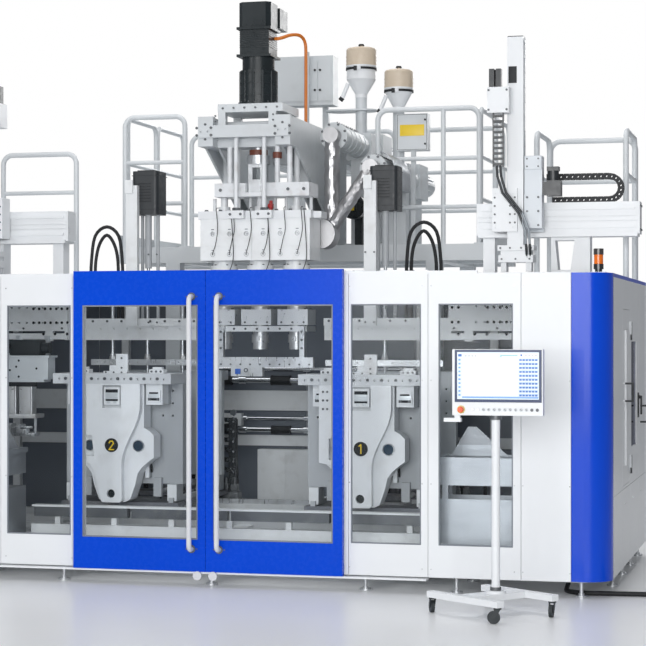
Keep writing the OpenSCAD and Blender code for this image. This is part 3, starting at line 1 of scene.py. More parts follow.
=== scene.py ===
"""Looks of the blow moulding machine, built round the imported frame. Metres, +Z up, front towards -Y."""
import math
import random

import bmesh
import bpy
from mathutils import Matrix, Vector, geometry


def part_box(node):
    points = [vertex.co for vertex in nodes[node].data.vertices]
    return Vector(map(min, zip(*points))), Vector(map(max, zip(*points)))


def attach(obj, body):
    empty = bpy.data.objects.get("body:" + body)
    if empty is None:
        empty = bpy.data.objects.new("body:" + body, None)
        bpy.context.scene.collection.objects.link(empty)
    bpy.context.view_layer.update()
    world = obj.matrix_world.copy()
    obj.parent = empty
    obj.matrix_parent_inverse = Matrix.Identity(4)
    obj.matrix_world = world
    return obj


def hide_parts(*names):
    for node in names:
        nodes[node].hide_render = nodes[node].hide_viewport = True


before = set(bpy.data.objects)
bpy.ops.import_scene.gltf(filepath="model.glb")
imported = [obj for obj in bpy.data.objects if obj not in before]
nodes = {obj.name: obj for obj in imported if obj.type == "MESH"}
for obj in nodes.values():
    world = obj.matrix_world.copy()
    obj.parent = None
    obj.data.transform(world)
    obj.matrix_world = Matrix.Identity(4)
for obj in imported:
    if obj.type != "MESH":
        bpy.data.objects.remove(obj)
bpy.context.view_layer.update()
rnd = random.Random(7)
scene = bpy.context.scene
FWD, UP, ANY = (0, -1, 0), (0, 0, 1), (None, None, None)


def put(o):
    scene.collection.objects.link(o)


# Camera at the photograph's place
cam_data = bpy.data.cameras.new("camera")
cam_data.sensor_width = 36
cam_data.lens = 106.16
cam_data.shift_y = 0.0167
cam_data.clip_end = 200
cam = bpy.data.objects.new("camera", cam_data)
cam.location = (3.992, -13.62, 1.705)
cam.rotation_euler = (math.radians(90), 0, math.radians(14.57))
put(cam)
scene.camera = cam


# The supply cable: the route's points from the part's source, then the turns of its coil
CABLE_R = 0.016
route = [(2.400, -0.650, 0.180), (2.400, -0.700, 0.180), (2.400, -0.770, 0.176), (2.398, -0.840, 0.150),
         (2.392, -0.910, 0.096), (2.386, -0.975, 0.044), (2.384, -1.040, 0.018), (2.400, -1.100, 0.016),
         (2.450, -1.150, 0.016), (2.520, -1.176, 0.016), (2.650, -1.164, 0.016), (2.800, -1.150, 0.016),
         (2.950, -1.138, 0.016), (3.100, -1.132, 0.016), (3.250, -1.150, 0.016), (3.390, -1.198, 0.016),
         (3.500, -1.236, 0.016)]
COIL = Vector((3.600, -1.440, 0))
OUTER, INNER, ENTRY, LAYER = 0.1595, 0.1265, 0.1923, 0.033


def ramp(x, a, b):
    t = min(1.0, max(0.0, (x - a) / (b - a)))
    return t * t * (3 - 2 * t)


def coil_point(turn):
    """Five turns in three layers. Each step in or out, or up a layer, is made where nothing lies beside it."""
    r = ENTRY + (OUTER - ENTRY) * ramp(turn, 0, 60) - (OUTER - INNER) * (
        ramp(turn, 300, 360) - ramp(turn, 900, 960) + ramp(turn, 1500, 1560))
    z = CABLE_R + LAYER * (ramp(turn, 590, 660) + ramp(turn, 1190, 1260))
    a = math.radians(90 - turn)
    return COIL + Vector((r * math.cos(a), r * math.sin(a), z))


cable_line = [Vector(p) for p in route] + [coil_point(t) for t in range(0, 1851, 15)]
curve = bpy.data.curves.new("supply_cable", "CURVE")
curve.dimensions = "3D"
curve.bevel_depth = 1.0
curve.bevel_resolution = 3
curve.resolution_u = 4
curve.use_fill_caps = True
spline = curve.splines.new("BEZIER")
spline.bezier_points.add(len(cable_line) - 1)
for bez, co in zip(spline.bezier_points, cable_line):
    bez.co = co
    bez.radius = CABLE_R - 0.0002
    bez.handle_left_type = bez.handle_right_type = "AUTO"
supply = bpy.data.objects.new("supply_cable", curve)
put(supply)
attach(supply, "machine")
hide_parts("floor_cable", "cable_coil")
bpy.context.view_layer.update()
for b0, b1 in zip(spline.bezier_points, spline.bezier_points[1:]):
    steps = geometry.interpolate_bezier(b0.co, b0.handle_right, b1.handle_left, b1.co, 6)


# Mesh helpers: every piece is one mesh made of primitives, with sharp edges by angle
def add_box(bm, a, b, bevel=0.0):
    made = bmesh.ops.create_cube(bm, size=1.0)["verts"]
    for v in made:
        v.co = Vector([a[i] + (v.co[i] + 0.5) * (b[i] - a[i]) for i in range(3)])
    if bevel:
        edges = list({e for v in made for e in v.link_edges})
        bmesh.ops.bevel(bm, geom=edges, offset=bevel, segments=2, affect="EDGES", profile=0.7)


def add_rod(bm, p, q, r, n=20, r2=None):
    p, q = Vector(p), Vector(q)
    d = q - p
    m = Matrix.Translation((p + q) / 2) @ d.to_track_quat("Z", "Y").to_matrix().to_4x4()
    bmesh.ops.create_cone(bm, cap_ends=True, segments=n, radius1=r, radius2=r if r2 is None else r2,
        depth=d.length, matrix=m)


def skin(bm, rows):
    """Faces between each closed row of vertices and the next."""
    n = len(rows[0])
    for a, b in zip(rows, rows[1:]):
        for k in range(n):
            bm.faces.new((a[k], a[(k + 1) % n], b[(k + 1) % n], b[k]))


def rod_y(bm, x, y0, y1, z, *rest):
    add_rod(bm, (x, y0, z), (x, y1, z), *rest)


def rod_z(bm, x, y, z0, z1, *rest):
    add_rod(bm, (x, y, z0), (x, y, z1), *rest)


def add_ring(bm, c, axis, r_in, r_out, h, n=28):
    """A flat ring with its back at c, h thick along axis."""
    q = Vector(axis).to_track_quat("Z", "Y").to_matrix().to_4x4()
    m = Matrix.Translation(Vector(c)) @ q
    rows = []
    for r, z in ((r_in, 0), (r_out, 0), (r_out, h), (r_in, h)):
        rows.append([bm.verts.new(m @ Vector((r * math.cos(2 * math.pi * k / n),
            r * math.sin(2 * math.pi * k / n), z))) for k in range(n)])
    skin(bm, rows + rows[:1])


def smooth(points, n):
    p = [Vector(x) for x in points]
    out = []
    for i in range(len(p) - 1):
        a, b, c, d = p[max(i - 1, 0)], p[i], p[i + 1], p[min(i + 2, len(p) - 1)]
        for k in range(n):
            t = k / n
            bend, twist = 2 * a - 5 * b + 4 * c - d, 3 * b - a - 3 * c + d
            out.append(0.5 * (2 * b + (c - a) * t + bend * t * t + twist * t ** 3))
    return out + [p[-1]]


def add_tube(bm, points, r, n=8, steps=5):
    p = smooth(points, steps) if steps > 1 else [Vector(x) for x in points]
    rows, side = [], None
    for i, c in enumerate(p):
        d = (p[min(i + 1, len(p) - 1)] - p[max(i - 1, 0)]).normalized()
        if side is None:
            side = d.cross(Vector(UP))
            if side.length < 0.2:
                side = d.cross(Vector((1, 0, 0)))
        side = (side - d * side.dot(d)).normalized()
        up = d.cross(side)
        rows.append([bm.verts.new(c + r * (math.cos(a) * side + math.sin(a) * up))
            for a in (2 * math.pi * k / n for k in range(n))])
    skin(bm, rows)
    bm.faces.new(rows[0][::-1])
    bm.faces.new(rows[-1])


def bolts(bm, places, r=0.009, h=0.007, axis=FWD):
    """Socket screws with their recess, standing on each place along axis."""
    a = Vector(axis)
    for c in places:
        c = Vector(c)
        add_ring(bm, c, a, r * 0.5, r, h, 14)
        add_rod(bm, c, c + a * h * 0.45, r * 0.55, 6)


def spokes(n, start=0):
    """Cosine and sine of n even steps round a circle, from start degrees on."""
    turns = [math.radians(start + 360 / n * k) for k in range(n)]
    return [(math.cos(t), math.sin(t)) for t in turns]


def piece(name, material, build, body="machine", slot=None, angle=0.6):
    slot = slot or slot_of[material.name.partition(".")[0]]
    bm = bmesh.new()
    build(bm)
    bmesh.ops.recalc_face_normals(bm, faces=bm.faces)
    for f in bm.faces:
        f.smooth = True
    for e in bm.edges:
        e.smooth = len(e.link_faces) == 2 and e.calc_face_angle(3.0) < angle
    mesh = bpy.data.meshes.new(name)
    bm.to_mesh(mesh)
    bm.free()
    mesh.materials.append(material)
    o = bpy.data.objects.new(name, mesh)
    put(o)
    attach(o, body)


def part(material, body="machine", prefix="", slot=None, angle=0.6):
    """Makes a piece of the function below it, under the function's own name."""
    def made(build):
        piece(prefix + build.__name__, material, build, body, slot, angle)
    return made


# Materials
def new_material(name):
    m = bpy.data.materials.new(name)
    m.use_nodes = True
    nt = m.node_tree
    return m, nt, nt.nodes["Principled BSDF"]


def link(nt, a, b):
    nt.links.new(a, b)


def node(nt, kind):
    return nt.nodes.new("ShaderNode" + kind)


def fill(n, sockets):
    for name, value in sockets.items():
        n.inputs[name].default_value = value


def math_node(nt, op, a, b=None):
    n = node(nt, "Math")
    n.operation = op
    for i, v in enumerate((a, b)):
        if v is None:
            continue
        if isinstance(v, (int, float)):
            n.inputs[i].default_value = v
        else:
            link(nt, v, n.inputs[i])
    return n.outputs[0]


def coords(nt, stretch=(1, 1, 1)):
    c = node(nt, "TexCoord")
    m = node(nt, "Mapping")
    m.inputs["Scale"].default_value = stretch
    link(nt, c.outputs["Object"], m.inputs["Vector"])
    return m.outputs["Vector"]


def noise(nt, scale, detail=3, stretch=(1, 1, 1)):
    n = node(nt, "TexNoise")
    fill(n, {"Scale": scale, "Detail": detail})
    link(nt, coords(nt, stretch), n.inputs["Vector"])
    return n.outputs["Fac"]


def spread(nt, value, a, b, lo, hi):
    n = node(nt, "MapRange")
    fill(n, {"From Min": a, "From Max": b, "To Min": lo, "To Max": hi})
    link(nt, value, n.inputs["Value"])
    return n.outputs["Result"]


def mix(nt, fac, a, b):
    n = node(nt, "Mix")
    n.data_type = "RGBA"
    link(nt, fac, n.inputs["Factor"])
    for name, v in (("A", a), ("B", b)):
        s = [x for x in n.inputs if x.name == name and x.type == "RGBA"][0]
        if isinstance(v, tuple):
            s.default_value = (*v, 1)
        else:
            link(nt, v, s)
    return [x for x in n.outputs if x.type == "RGBA"][0]


def inside(nt, lo, hi):
    """1 inside a box of the row frame, 0 outside. None leaves a side open."""
    s = node(nt, "SeparateXYZ")
    c = node(nt, "TexCoord")
    link(nt, c.outputs["Object"], s.inputs[0])
    value = None
    for i in range(3):
        for v, op in ((lo[i], "GREATER_THAN"), (hi[i], "LESS_THAN")):
            if v is not None:
                t = math_node(nt, op, s.outputs[i], float(v))
                value = t if value is None else math_node(nt, "MULTIPLY", value, t)
    return value


def finish_of(nt, shader, color, vary, rough, bump, grain, stretch=(1, 1, 1), big=1.4):
    """Colour that drifts a little, uneven gloss and a fine surface."""
    dark = tuple(c * (1 - vary) for c in color)
    light = tuple(min(1.0, c * (1 + vary * 0.6) + vary * 0.01) for c in color)
    col = mix(nt, spread(nt, noise(nt, big, 4, stretch), 0.3, 0.7, 0, 1), dark, light)
    link(nt, spread(nt, noise(nt, grain * 0.12, 3, stretch), 0.25, 0.75, rough[0], rough[1]),
         shader.inputs["Roughness"])
    b = node(nt, "Bump")
    fill(b, {"Strength": bump, "Distance": 0.001})
    link(nt, noise(nt, grain, 2, stretch), b.inputs["Height"])
    link(nt, b.outputs["Normal"], shader.inputs["Normal"])
    return col


def surface(name, color, rough=(0.3, 0.42), metal=0.0, vary=0.05, bump=0.12, grain=260,
            stretch=(1, 1, 1), coat=0.0, areas=(), dust=None, shine=0.5):
    m, nt, s = new_material(name)
    fill(s, {"Specular IOR Level": shine, "Metallic": metal, "Coat Weight": coat})
    if coat:
        fill(s, {"Coat Roughness": 0.08})
    col = finish_of(nt, s, color, vary, rough, bump, grain, stretch)
    if dust:
        # A little soil, in patches
        amount = spread(nt, noise(nt, dust[1], 5), 0.52, 0.8, 0, dust[2])
        col = mix(nt, amount, col, dust[0])
    for lo, hi, c in areas:
        col = mix(nt, inside(nt, lo, hi), col, c)
    link(nt, col, s.inputs["Base Color"])
    return m


def glass(name, clear_of, end_wall_painted_reflection):
    """A pane with faint smears. Past x = 2.68, in the end wall, its reflection and see-through colours are set
    dark blue: a painted reflection.
    """
    m = bpy.data.materials.new(name)
    m.use_nodes = True
    nt = m.node_tree
    nt.nodes.clear()
    out = node(nt, "OutputMaterial")
    clear = node(nt, "BsdfTransparent")
    gloss = node(nt, "BsdfPrincipled")
    gloss.inputs["Metallic"].default_value = 1.0
    # Painted reflection: the end wall's panes get dark blue colours.
    wall = inside(nt, (2.68, None, None), ANY)
    link(nt, mix(nt, wall, (0.9, 0.93, 0.95), (0.10, 0.16, 0.42)), gloss.inputs["Base Color"])
    link(nt, mix(nt, wall, clear_of, end_wall_painted_reflection), clear.inputs["Color"])
    link(nt, spread(nt, noise(nt, 2.0, 3), 0.3, 0.7, 0.02, 0.06), gloss.inputs["Roughness"])
    fres = node(nt, "Fresnel")
    fres.inputs["IOR"].default_value = 1.14
    smear = spread(nt, noise(nt, 1.3, 4, (1, 1, 0.5)), 0.5, 0.8, 0.0, 0.006)
    both = node(nt, "MixShader")
    link(nt, math_node(nt, "ADD", fres.outputs[0], smear), both.inputs[0])
    link(nt, clear.outputs[0], both.inputs[1])
    link(nt, gloss.outputs[0], both.inputs[2])
    link(nt, both.outputs[0], out.inputs["Surface"])
    return m


def paint(name, areas=(), vary=0.025):
    return surface(name, WHITE, vary=vary, coat=0.1, areas=areas)


WHITE = (0.78, 0.80, 0.82)
BLUE = (0.0, 0.060, 0.60)
STEEL = (0.56, 0.58, 0.60)
BLACK = (0.022, 0.026, 0.030)
PIN_Z = (0.857, 0.943)
white = paint("white_paint")
# End walls: blue trim along the tops of both ends. The right end's outer face below z 2.0 is painted black, a
# painted dark reflection on that glossy face.
walls_and_painted_reflection = paint("wall_paint_and_painted_reflection", (
    ((2.5, None, 2.075), ANY, BLUE), ((None, None, 2.075), (-2.5, None, None), BLUE),
    ((2.7095, None, None), (None, None, 2.0), BLACK)))
# The end door's outer face is painted black: a painted dark reflection on that glossy face.
service_painted_reflection = paint("service_door_painted_reflection", (
    ((2.7175, None, None), ANY, BLACK),))
# The rear wall's inner face below the roof is painted dark grey: painted shade inside the enclosure.
rear_paint_inner_shade = surface("rear_paint_inner_shade", WHITE, vary=0.03, areas=(
    (ANY, (None, 1.2203, 2.0995), (0.13, 0.15, 0.18)),))
dirty_white = surface("inner_paint", (0.74, 0.76, 0.77), rough=(0.35, 0.55), vary=0.07,
    dust=((0.38, 0.37, 0.35), 9, 0.35))
blow_paint = surface("blow_paint", (0.76, 0.78, 0.79), rough=(0.35, 0.55), vary=0.06,
    dust=((0.42, 0.40, 0.37), 9, 0.3), areas=(((None, -0.05, 1.8205), (None, None, 2.6055),
    (0.42, 0.44, 0.46)), ((None, -0.0702, 2.6055), ANY, BLACK)))
casting = surface("casting_paint", (0.76, 0.78, 0.80), rough=(0.3, 0.5), vary=0.05, bump=0.3, grain=140,
    dust=((0.46, 0.45, 0.43), 7, 0.3), areas=(((None, -0.5595, None), (None, None, 1.345),
    (0.42, 0.44, 0.46)), ((None, None, 1.346), ANY, (0.58, 0.60, 0.62)), ) + tuple(((x - 0.043, -0.708,
    PIN_Z[0]), (x + 0.043, -0.7003, PIN_Z[1]), (0.13, 0.16, 0.20)) for x in (-1.105, -0.735, 0.735, 1.105)))
blue = surface("blue_paint", BLUE, rough=(0.16, 0.24), vary=0.03, bump=0.03, shine=0.3)
door_blue = surface("door_paint", BLUE, rough=(0.22, 0.32), vary=0.03, bump=0.03, shine=0.12, areas=(
    (ANY, (None, -1.4105, 2.2), (0.66, 0.67, 0.69)),))
grey = surface("grey_paint", (0.60, 0.63, 0.65), vary=0.04, dust=((0.36, 0.36, 0.35), 6, 0.25))
rail_grey = surface("rail_paint", (0.66, 0.69, 0.71), vary=0.04)
steel = surface("machined_steel", STEEL, rough=(0.22, 0.42), metal=0.7, vary=0.12, bump=0.25, grain=420,
    stretch=(1, 1, 0.12), dust=((0.12, 0.11, 0.10), 11, 0.35))
chrome = surface("chrome", (0.72, 0.74, 0.76), rough=(0.08, 0.2), metal=1.0, vary=0.05, bump=0.05, grain=500)
shuttle_steel = surface("shuttle_steel", (0.16, 0.17, 0.19), rough=(0.35, 0.55), metal=0.3, vary=0.2,
    bump=0.3, dust=((0.34, 0.33, 0.32), 9, 0.5), areas=(((None, None, 0.4852), (None, None, 0.5205),
    (0.46, 0.48, 0.50)),))
die_steel = surface("die_steel", (0.60, 0.61, 0.62), rough=(0.25, 0.45), metal=0.6, vary=0.12, bump=0.2,
    dust=((0.26, 0.20, 0.13), 8, 0.4), areas=(((None, None, 1.721), (None, None, 1.886),
    (0.70, 0.72, 0.73)),))
sheet = surface("sheet_metal", (0.40, 0.425, 0.455), rough=(0.28, 0.45), metal=0.6, vary=0.3, bump=0.2,
    grain=500, stretch=(0.1, 1, 1), dust=((0.26, 0.27, 0.30), 2.6, 0.7), areas=(((None, None, 0.953),
    (None, -0.8, 1.5), (0.30, 0.315, 0.335)),))
platen = surface("platen_steel", (0.60, 0.635, 0.66), rough=(0.3, 0.45), metal=0.4, vary=0.1, bump=0.2,
    grain=300, dust=((0.30, 0.31, 0.32), 5, 0.3))
pin_glass = surface("polished_pin", (0.030, 0.055, 0.085), rough=(0.08, 0.16), vary=0.3, coat=0.4)
slot_black = surface("slot_black", (0.014, 0.017, 0.022), rough=(0.4, 0.6), vary=0.2, shine=0.3)
head_grey = surface("head_paint", (0.84, 0.86, 0.87), rough=(0.3, 0.45), vary=0.05,
    dust=((0.40, 0.38, 0.35), 8, 0.25))
frame_white = surface("frame_paint", (0.74, 0.76, 0.78), rough=(0.25, 0.4), vary=0.05, dust=(
    (0.30, 0.24, 0.20), 12, 0.35))
charcoal = surface("charcoal", (0.026, 0.032, 0.036), rough=(0.4, 0.6), vary=0.2, bump=0.3, shine=0.35)
dark_steel = surface("dark_steel", (0.12, 0.13, 0.14), rough=(0.3, 0.5), metal=0.4, vary=0.3,
    dust=((0.26, 0.26, 0.25), 14, 0.4))
black_enamel = surface("black_enamel", (0.014, 0.020, 0.023), rough=(0.24, 0.36), vary=0.25, bump=0.2,
    grain=160, shine=0.35)
black_plastic = surface("black_plastic", (0.016, 0.018, 0.021), rough=(0.42, 0.58), vary=0.25, bump=0.3,
    shine=0.35)
rubber = surface("black_rubber", (0.014, 0.015, 0.017), rough=(0.5, 0.7), vary=0.3, bump=0.4, grain=700,
    shine=0.35)
beige = surface("beige_plastic", (0.66, 0.56, 0.44), rough=(0.35, 0.5), vary=0.10,
    dust=((0.40, 0.28, 0.17), 6, 0.45))
orange = surface("orange_cable", (0.72, 0.20, 0.02), rough=(0.4, 0.55), vary=0.12, bump=0.3)
orange_glass = surface("orange_lens", (0.84, 0.17, 0.01), rough=(0.12, 0.2), vary=0.08, coat=0.3, areas=(
    ((None, None, 2.2265), ANY, (0.05, 0.045, 0.045)),
    (ANY, (None, None, 2.1655), BLACK)))
red = surface("red_plastic", (0.80, 0.10, 0.015), rough=(0.2, 0.3), vary=0.08, coat=0.2)
valve_red = surface("valve_red", (0.42, 0.02, 0.02), rough=(0.3, 0.45), vary=0.15)
yellow = surface("yellow", (0.80, 0.56, 0.015), rough=(0.3, 0.4), vary=0.05)
foil = surface("foil", (0.46, 0.46, 0.47), rough=(0.3, 0.42), metal=0.8, vary=0.15, bump=1.0, grain=26)
gasket = surface("gasket", (0.20, 0.22, 0.25), rough=(0.5, 0.7), vary=0.2)
# The last colour is the painted reflection in the end wall's panes.
clear = glass("clear_pane", (0.97, 0.98, 0.985), (0.03, 0.05, 0.20))
brass = surface("brown_seal", (0.16, 0.045, 0.025), rough=(0.4, 0.6), vary=0.2)
arm_areas = ((ANY, (None, -0.1105, 3.2785), BLACK), ((None, None, 3.4622), (None, -0.1095, 3.6), BLACK))
paint_r = paint("right_arm_paint", arm_areas + (
    ((1.9522, None, 2.345), ANY, (0.30, 0.33, 0.36)),))
paint_l = paint("left_arm_paint", arm_areas + (
    ((None, None, 2.345), (-2.2822, None, None), (0.30, 0.33, 0.36)),))
slide_r = paint("right_carriage_paint", (
    ((1.958, None, None), ANY, (0.64, 0.68, 0.72)),
    ((2.0855, None, None), ANY, BLACK)))
slide_l = paint("left_carriage_paint", (
    (ANY, (-2.288, None, None), (0.64, 0.68, 0.72)),
    (ANY, (-2.4155, None, None), BLACK)))
panel_paint = paint("panel_paint", (((None, None, 1.285), (None, -2.2203, 1.61), (0.012, 0.03, 0.10)),), 0.02)

# The slot that each material of the scene's own pieces stands for
SLOTS = {"machined_steel": "dark_steel machined_steel chrome platen_steel die_steel polished_pin",
         "black_rubber": "gasket black_rubber", "red_plastic": "red_plastic valve_red",
         "black_plastic": "black_plastic slot_black sensor_blue key_grey",
         "orange_plastic": "yellow brown_seal orange_cable",
         "white_paint": "white_paint inner_paint", "clear_pane": "key_white key_pale", "sheet_metal": "foil",
         "casting_paint": "frame_paint", "charcoal_plastic": "charcoal", "black_enamel": "black_enamel",
         "beige_plastic": "beige_plastic"}
slot_of = {material: slot for slot, names in SLOTS.items() for material in names.split()}

# Materials of the CAD nodes; the rest are charcoal
LOOKS = (
    (dirty_white, "base_frame bed_frame"),
    (white, "front_panels door_rails head_cap hoppers robot_beams"),
    (blue, "corner_columns"),
    (walls_and_painted_reflection, "end_panels"),
    (service_painted_reflection, "end_door"),
    (rear_paint_inner_shade, "rear_and_roof_panels"),
    (steel, "levelling_feet shuttle_rails parison_cutter drive_coupling left_blow_head right_blow_head"),
    (clear, "window_panes left_door_pane right_door_pane"),
    (door_blue, "left_door right_door"),
    (dark_steel, "bed_beams"),
    (sheet, "discharge_chutes barrel_guard"),
    (blow_paint, "blow_frames"),
    (head_grey, "head_block"),
    (die_steel, "dies"),
    (frame_white, "head_frame"),
    (black_enamel, "drive_motor blower"),
    (grey, "extruder_frame extruders control_box"),
    (rail_grey, "platform guard_rails"),
    (beige, "hopper_lids"),
    (orange, "motor_cable"),
    (foil, "melt_pipe"),
    (black_plastic, "drag_chains"),
    (rubber, "hose_loops floor_cable cable_coil"),
    (orange_glass, "signal_light"),
    (panel_paint, "hmi_stand"),
    (red, "e_stop"),
    (shuttle_steel, "left_shuttle right_shuttle"),
    (casting, "left_casting right_casting"),
    (platen, "left_rear_platen right_rear_platen"),
    (slide_l, "left_carriage"),
    (slide_r, "right_carriage"),
    (paint_l, "left_arm"),
    (paint_r, "right_arm"),
)
look = {n: material for material, names in LOOKS for n in names.split()}
for n, o in nodes.items():
    m = look.get(n, charcoal)
    for s in o.material_slots:
        s.material = m
    if not o.material_slots:
        o.data.materials.append(m)

supply.data.materials.append(rubber)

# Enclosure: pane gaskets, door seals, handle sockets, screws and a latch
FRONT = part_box("front_panels")[0][1]
DOOR_Y = -1.410
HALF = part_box("end_panels")[1][0]
WIN_Z = (0.317, 1.902)
windows = [(0.993, 1.468), (1.584, 2.076)]


def frame_of(bm, x, y, z, w):
    """Four strips round a window, w wide, inside its edge."""
    for a, b in (((x[0], z[0]), (x[0] + w, z[1])), ((x[1] - w, z[0]), (x[1], z[1])),
            ((x[0] + w, z[0]), (x[1] - w, z[0] + w)), ((x[0] + w, z[1] - w), (x[1] - w, z[1]))):
        add_box(bm, (a[0], y[0], a[1]), (b[0], y[1], b[1]), 0.001)


@part(gasket)
def window_gaskets(bm):
    for s in (-1, 1):
        for a, b in windows:
            frame_of(bm, sorted((s * a, s * b)), (FRONT + 0.002, FRONT + 0.0118), WIN_Z, 0.009)


for side, s in (("left_", -1), ("right_", 1)):
    @part(gasket, side + "door", side)
    def door_gasket(bm):
        frame_of(bm, sorted((s * 0.055, s * 0.885)), (DOOR_Y + 0.002, DOOR_Y + 0.0118), (0.317, 1.900), 0.010)

    @part(dark_steel, side + "door", side)
    def handle_sockets(bm):
        for z in (0.254, 1.956):
            add_ring(bm, (s * 0.097, DOOR_Y, z), FWD, 0.0172, 0.027, 0.008)
            bolts(bm, [(s * 0.097 + 0.037 * c, DOOR_Y, z) for c in (-1, 1)], 0.005, 0.004)


@part(steel)
def panel_screws(bm):
    for s in (-1, 1):
        places = [(s * x, FRONT, z) for x in (0.985, 1.475, 1.535, 2.085, 2.140, 2.445)
            for z in (0.16, 0.72, 1.40, 2.02)]
        bolts(bm, places, 0.0045, 0.003)


@part(steel)
def end_screws(bm):
    for s in (-1, 1):
        for y in (-1.12, -0.62, -0.575, -0.07, 0.0, 0.57, 0.61, 1.21):
            bolts(bm, [(s * HALF, y, z) for z in (0.15, 0.60, 2.05)], 0.0045, 0.003, axis=(s, 0, 0))


@part(black_plastic, "end_door")
def service_latch(bm):
    add_box(bm, (HALF + 0.012, -0.395, 1.13), (HALF + 0.020, -0.345, 1.30), 0.003)
    add_rod(bm, (HALF + 0.02, -0.37, 1.27), (HALF + 0.032, -0.37, 1.27), 0.012)
    add_box(bm, (HALF + 0.030, -0.382, 1.15), (HALF + 0.042, -0.358, 1.28), 0.005)


# Clamp stations: badges, pins, bolts, hoses
CAST_Y = -0.760
BADGE_Z = 0.905
PIN_CENTRE = 0.900
LOW_PIN_Z = 0.557
TOP_Z = 1.4199
WALL_Y = 1.2202
STATION = 0.920
DIGITS = {"1": [((-0.012, 0.020), (0.002, 0.031)), ((0.002, 0.031), (0.002, -0.031))],
          "2": [((-0.017, 0.016), (-0.009, 0.029)), ((-0.009, 0.029), (0.009, 0.029)),
                ((0.009, 0.029), (0.017, 0.014)), ((0.017, 0.014), (-0.017, -0.031)),
                ((-0.017, -0.031), (0.019, -0.031))]}


def stroke(bm, a, b, y, w, t):
    a, b = Vector((a[0], y, a[1])), Vector((b[0], y, b[1]))
    d = (b - a).normalized()
    n = Vector((-d.z, 0, d.x)) * w
    a, b = a - d * w * 0.6, b + d * w * 0.6
    quad = [a - n, b - n, b + n, a + n]
    front = [bm.verts.new(q + Vector((0, -t, 0))) for q in quad]
    back = [bm.verts.new(q) for q in quad]
    bm.faces.new(front)
    bm.faces.new(back[::-1])
    for k in range(4):
        bm.faces.new((front[k], front[(k + 1) % 4], back[(k + 1) % 4], back[k]))


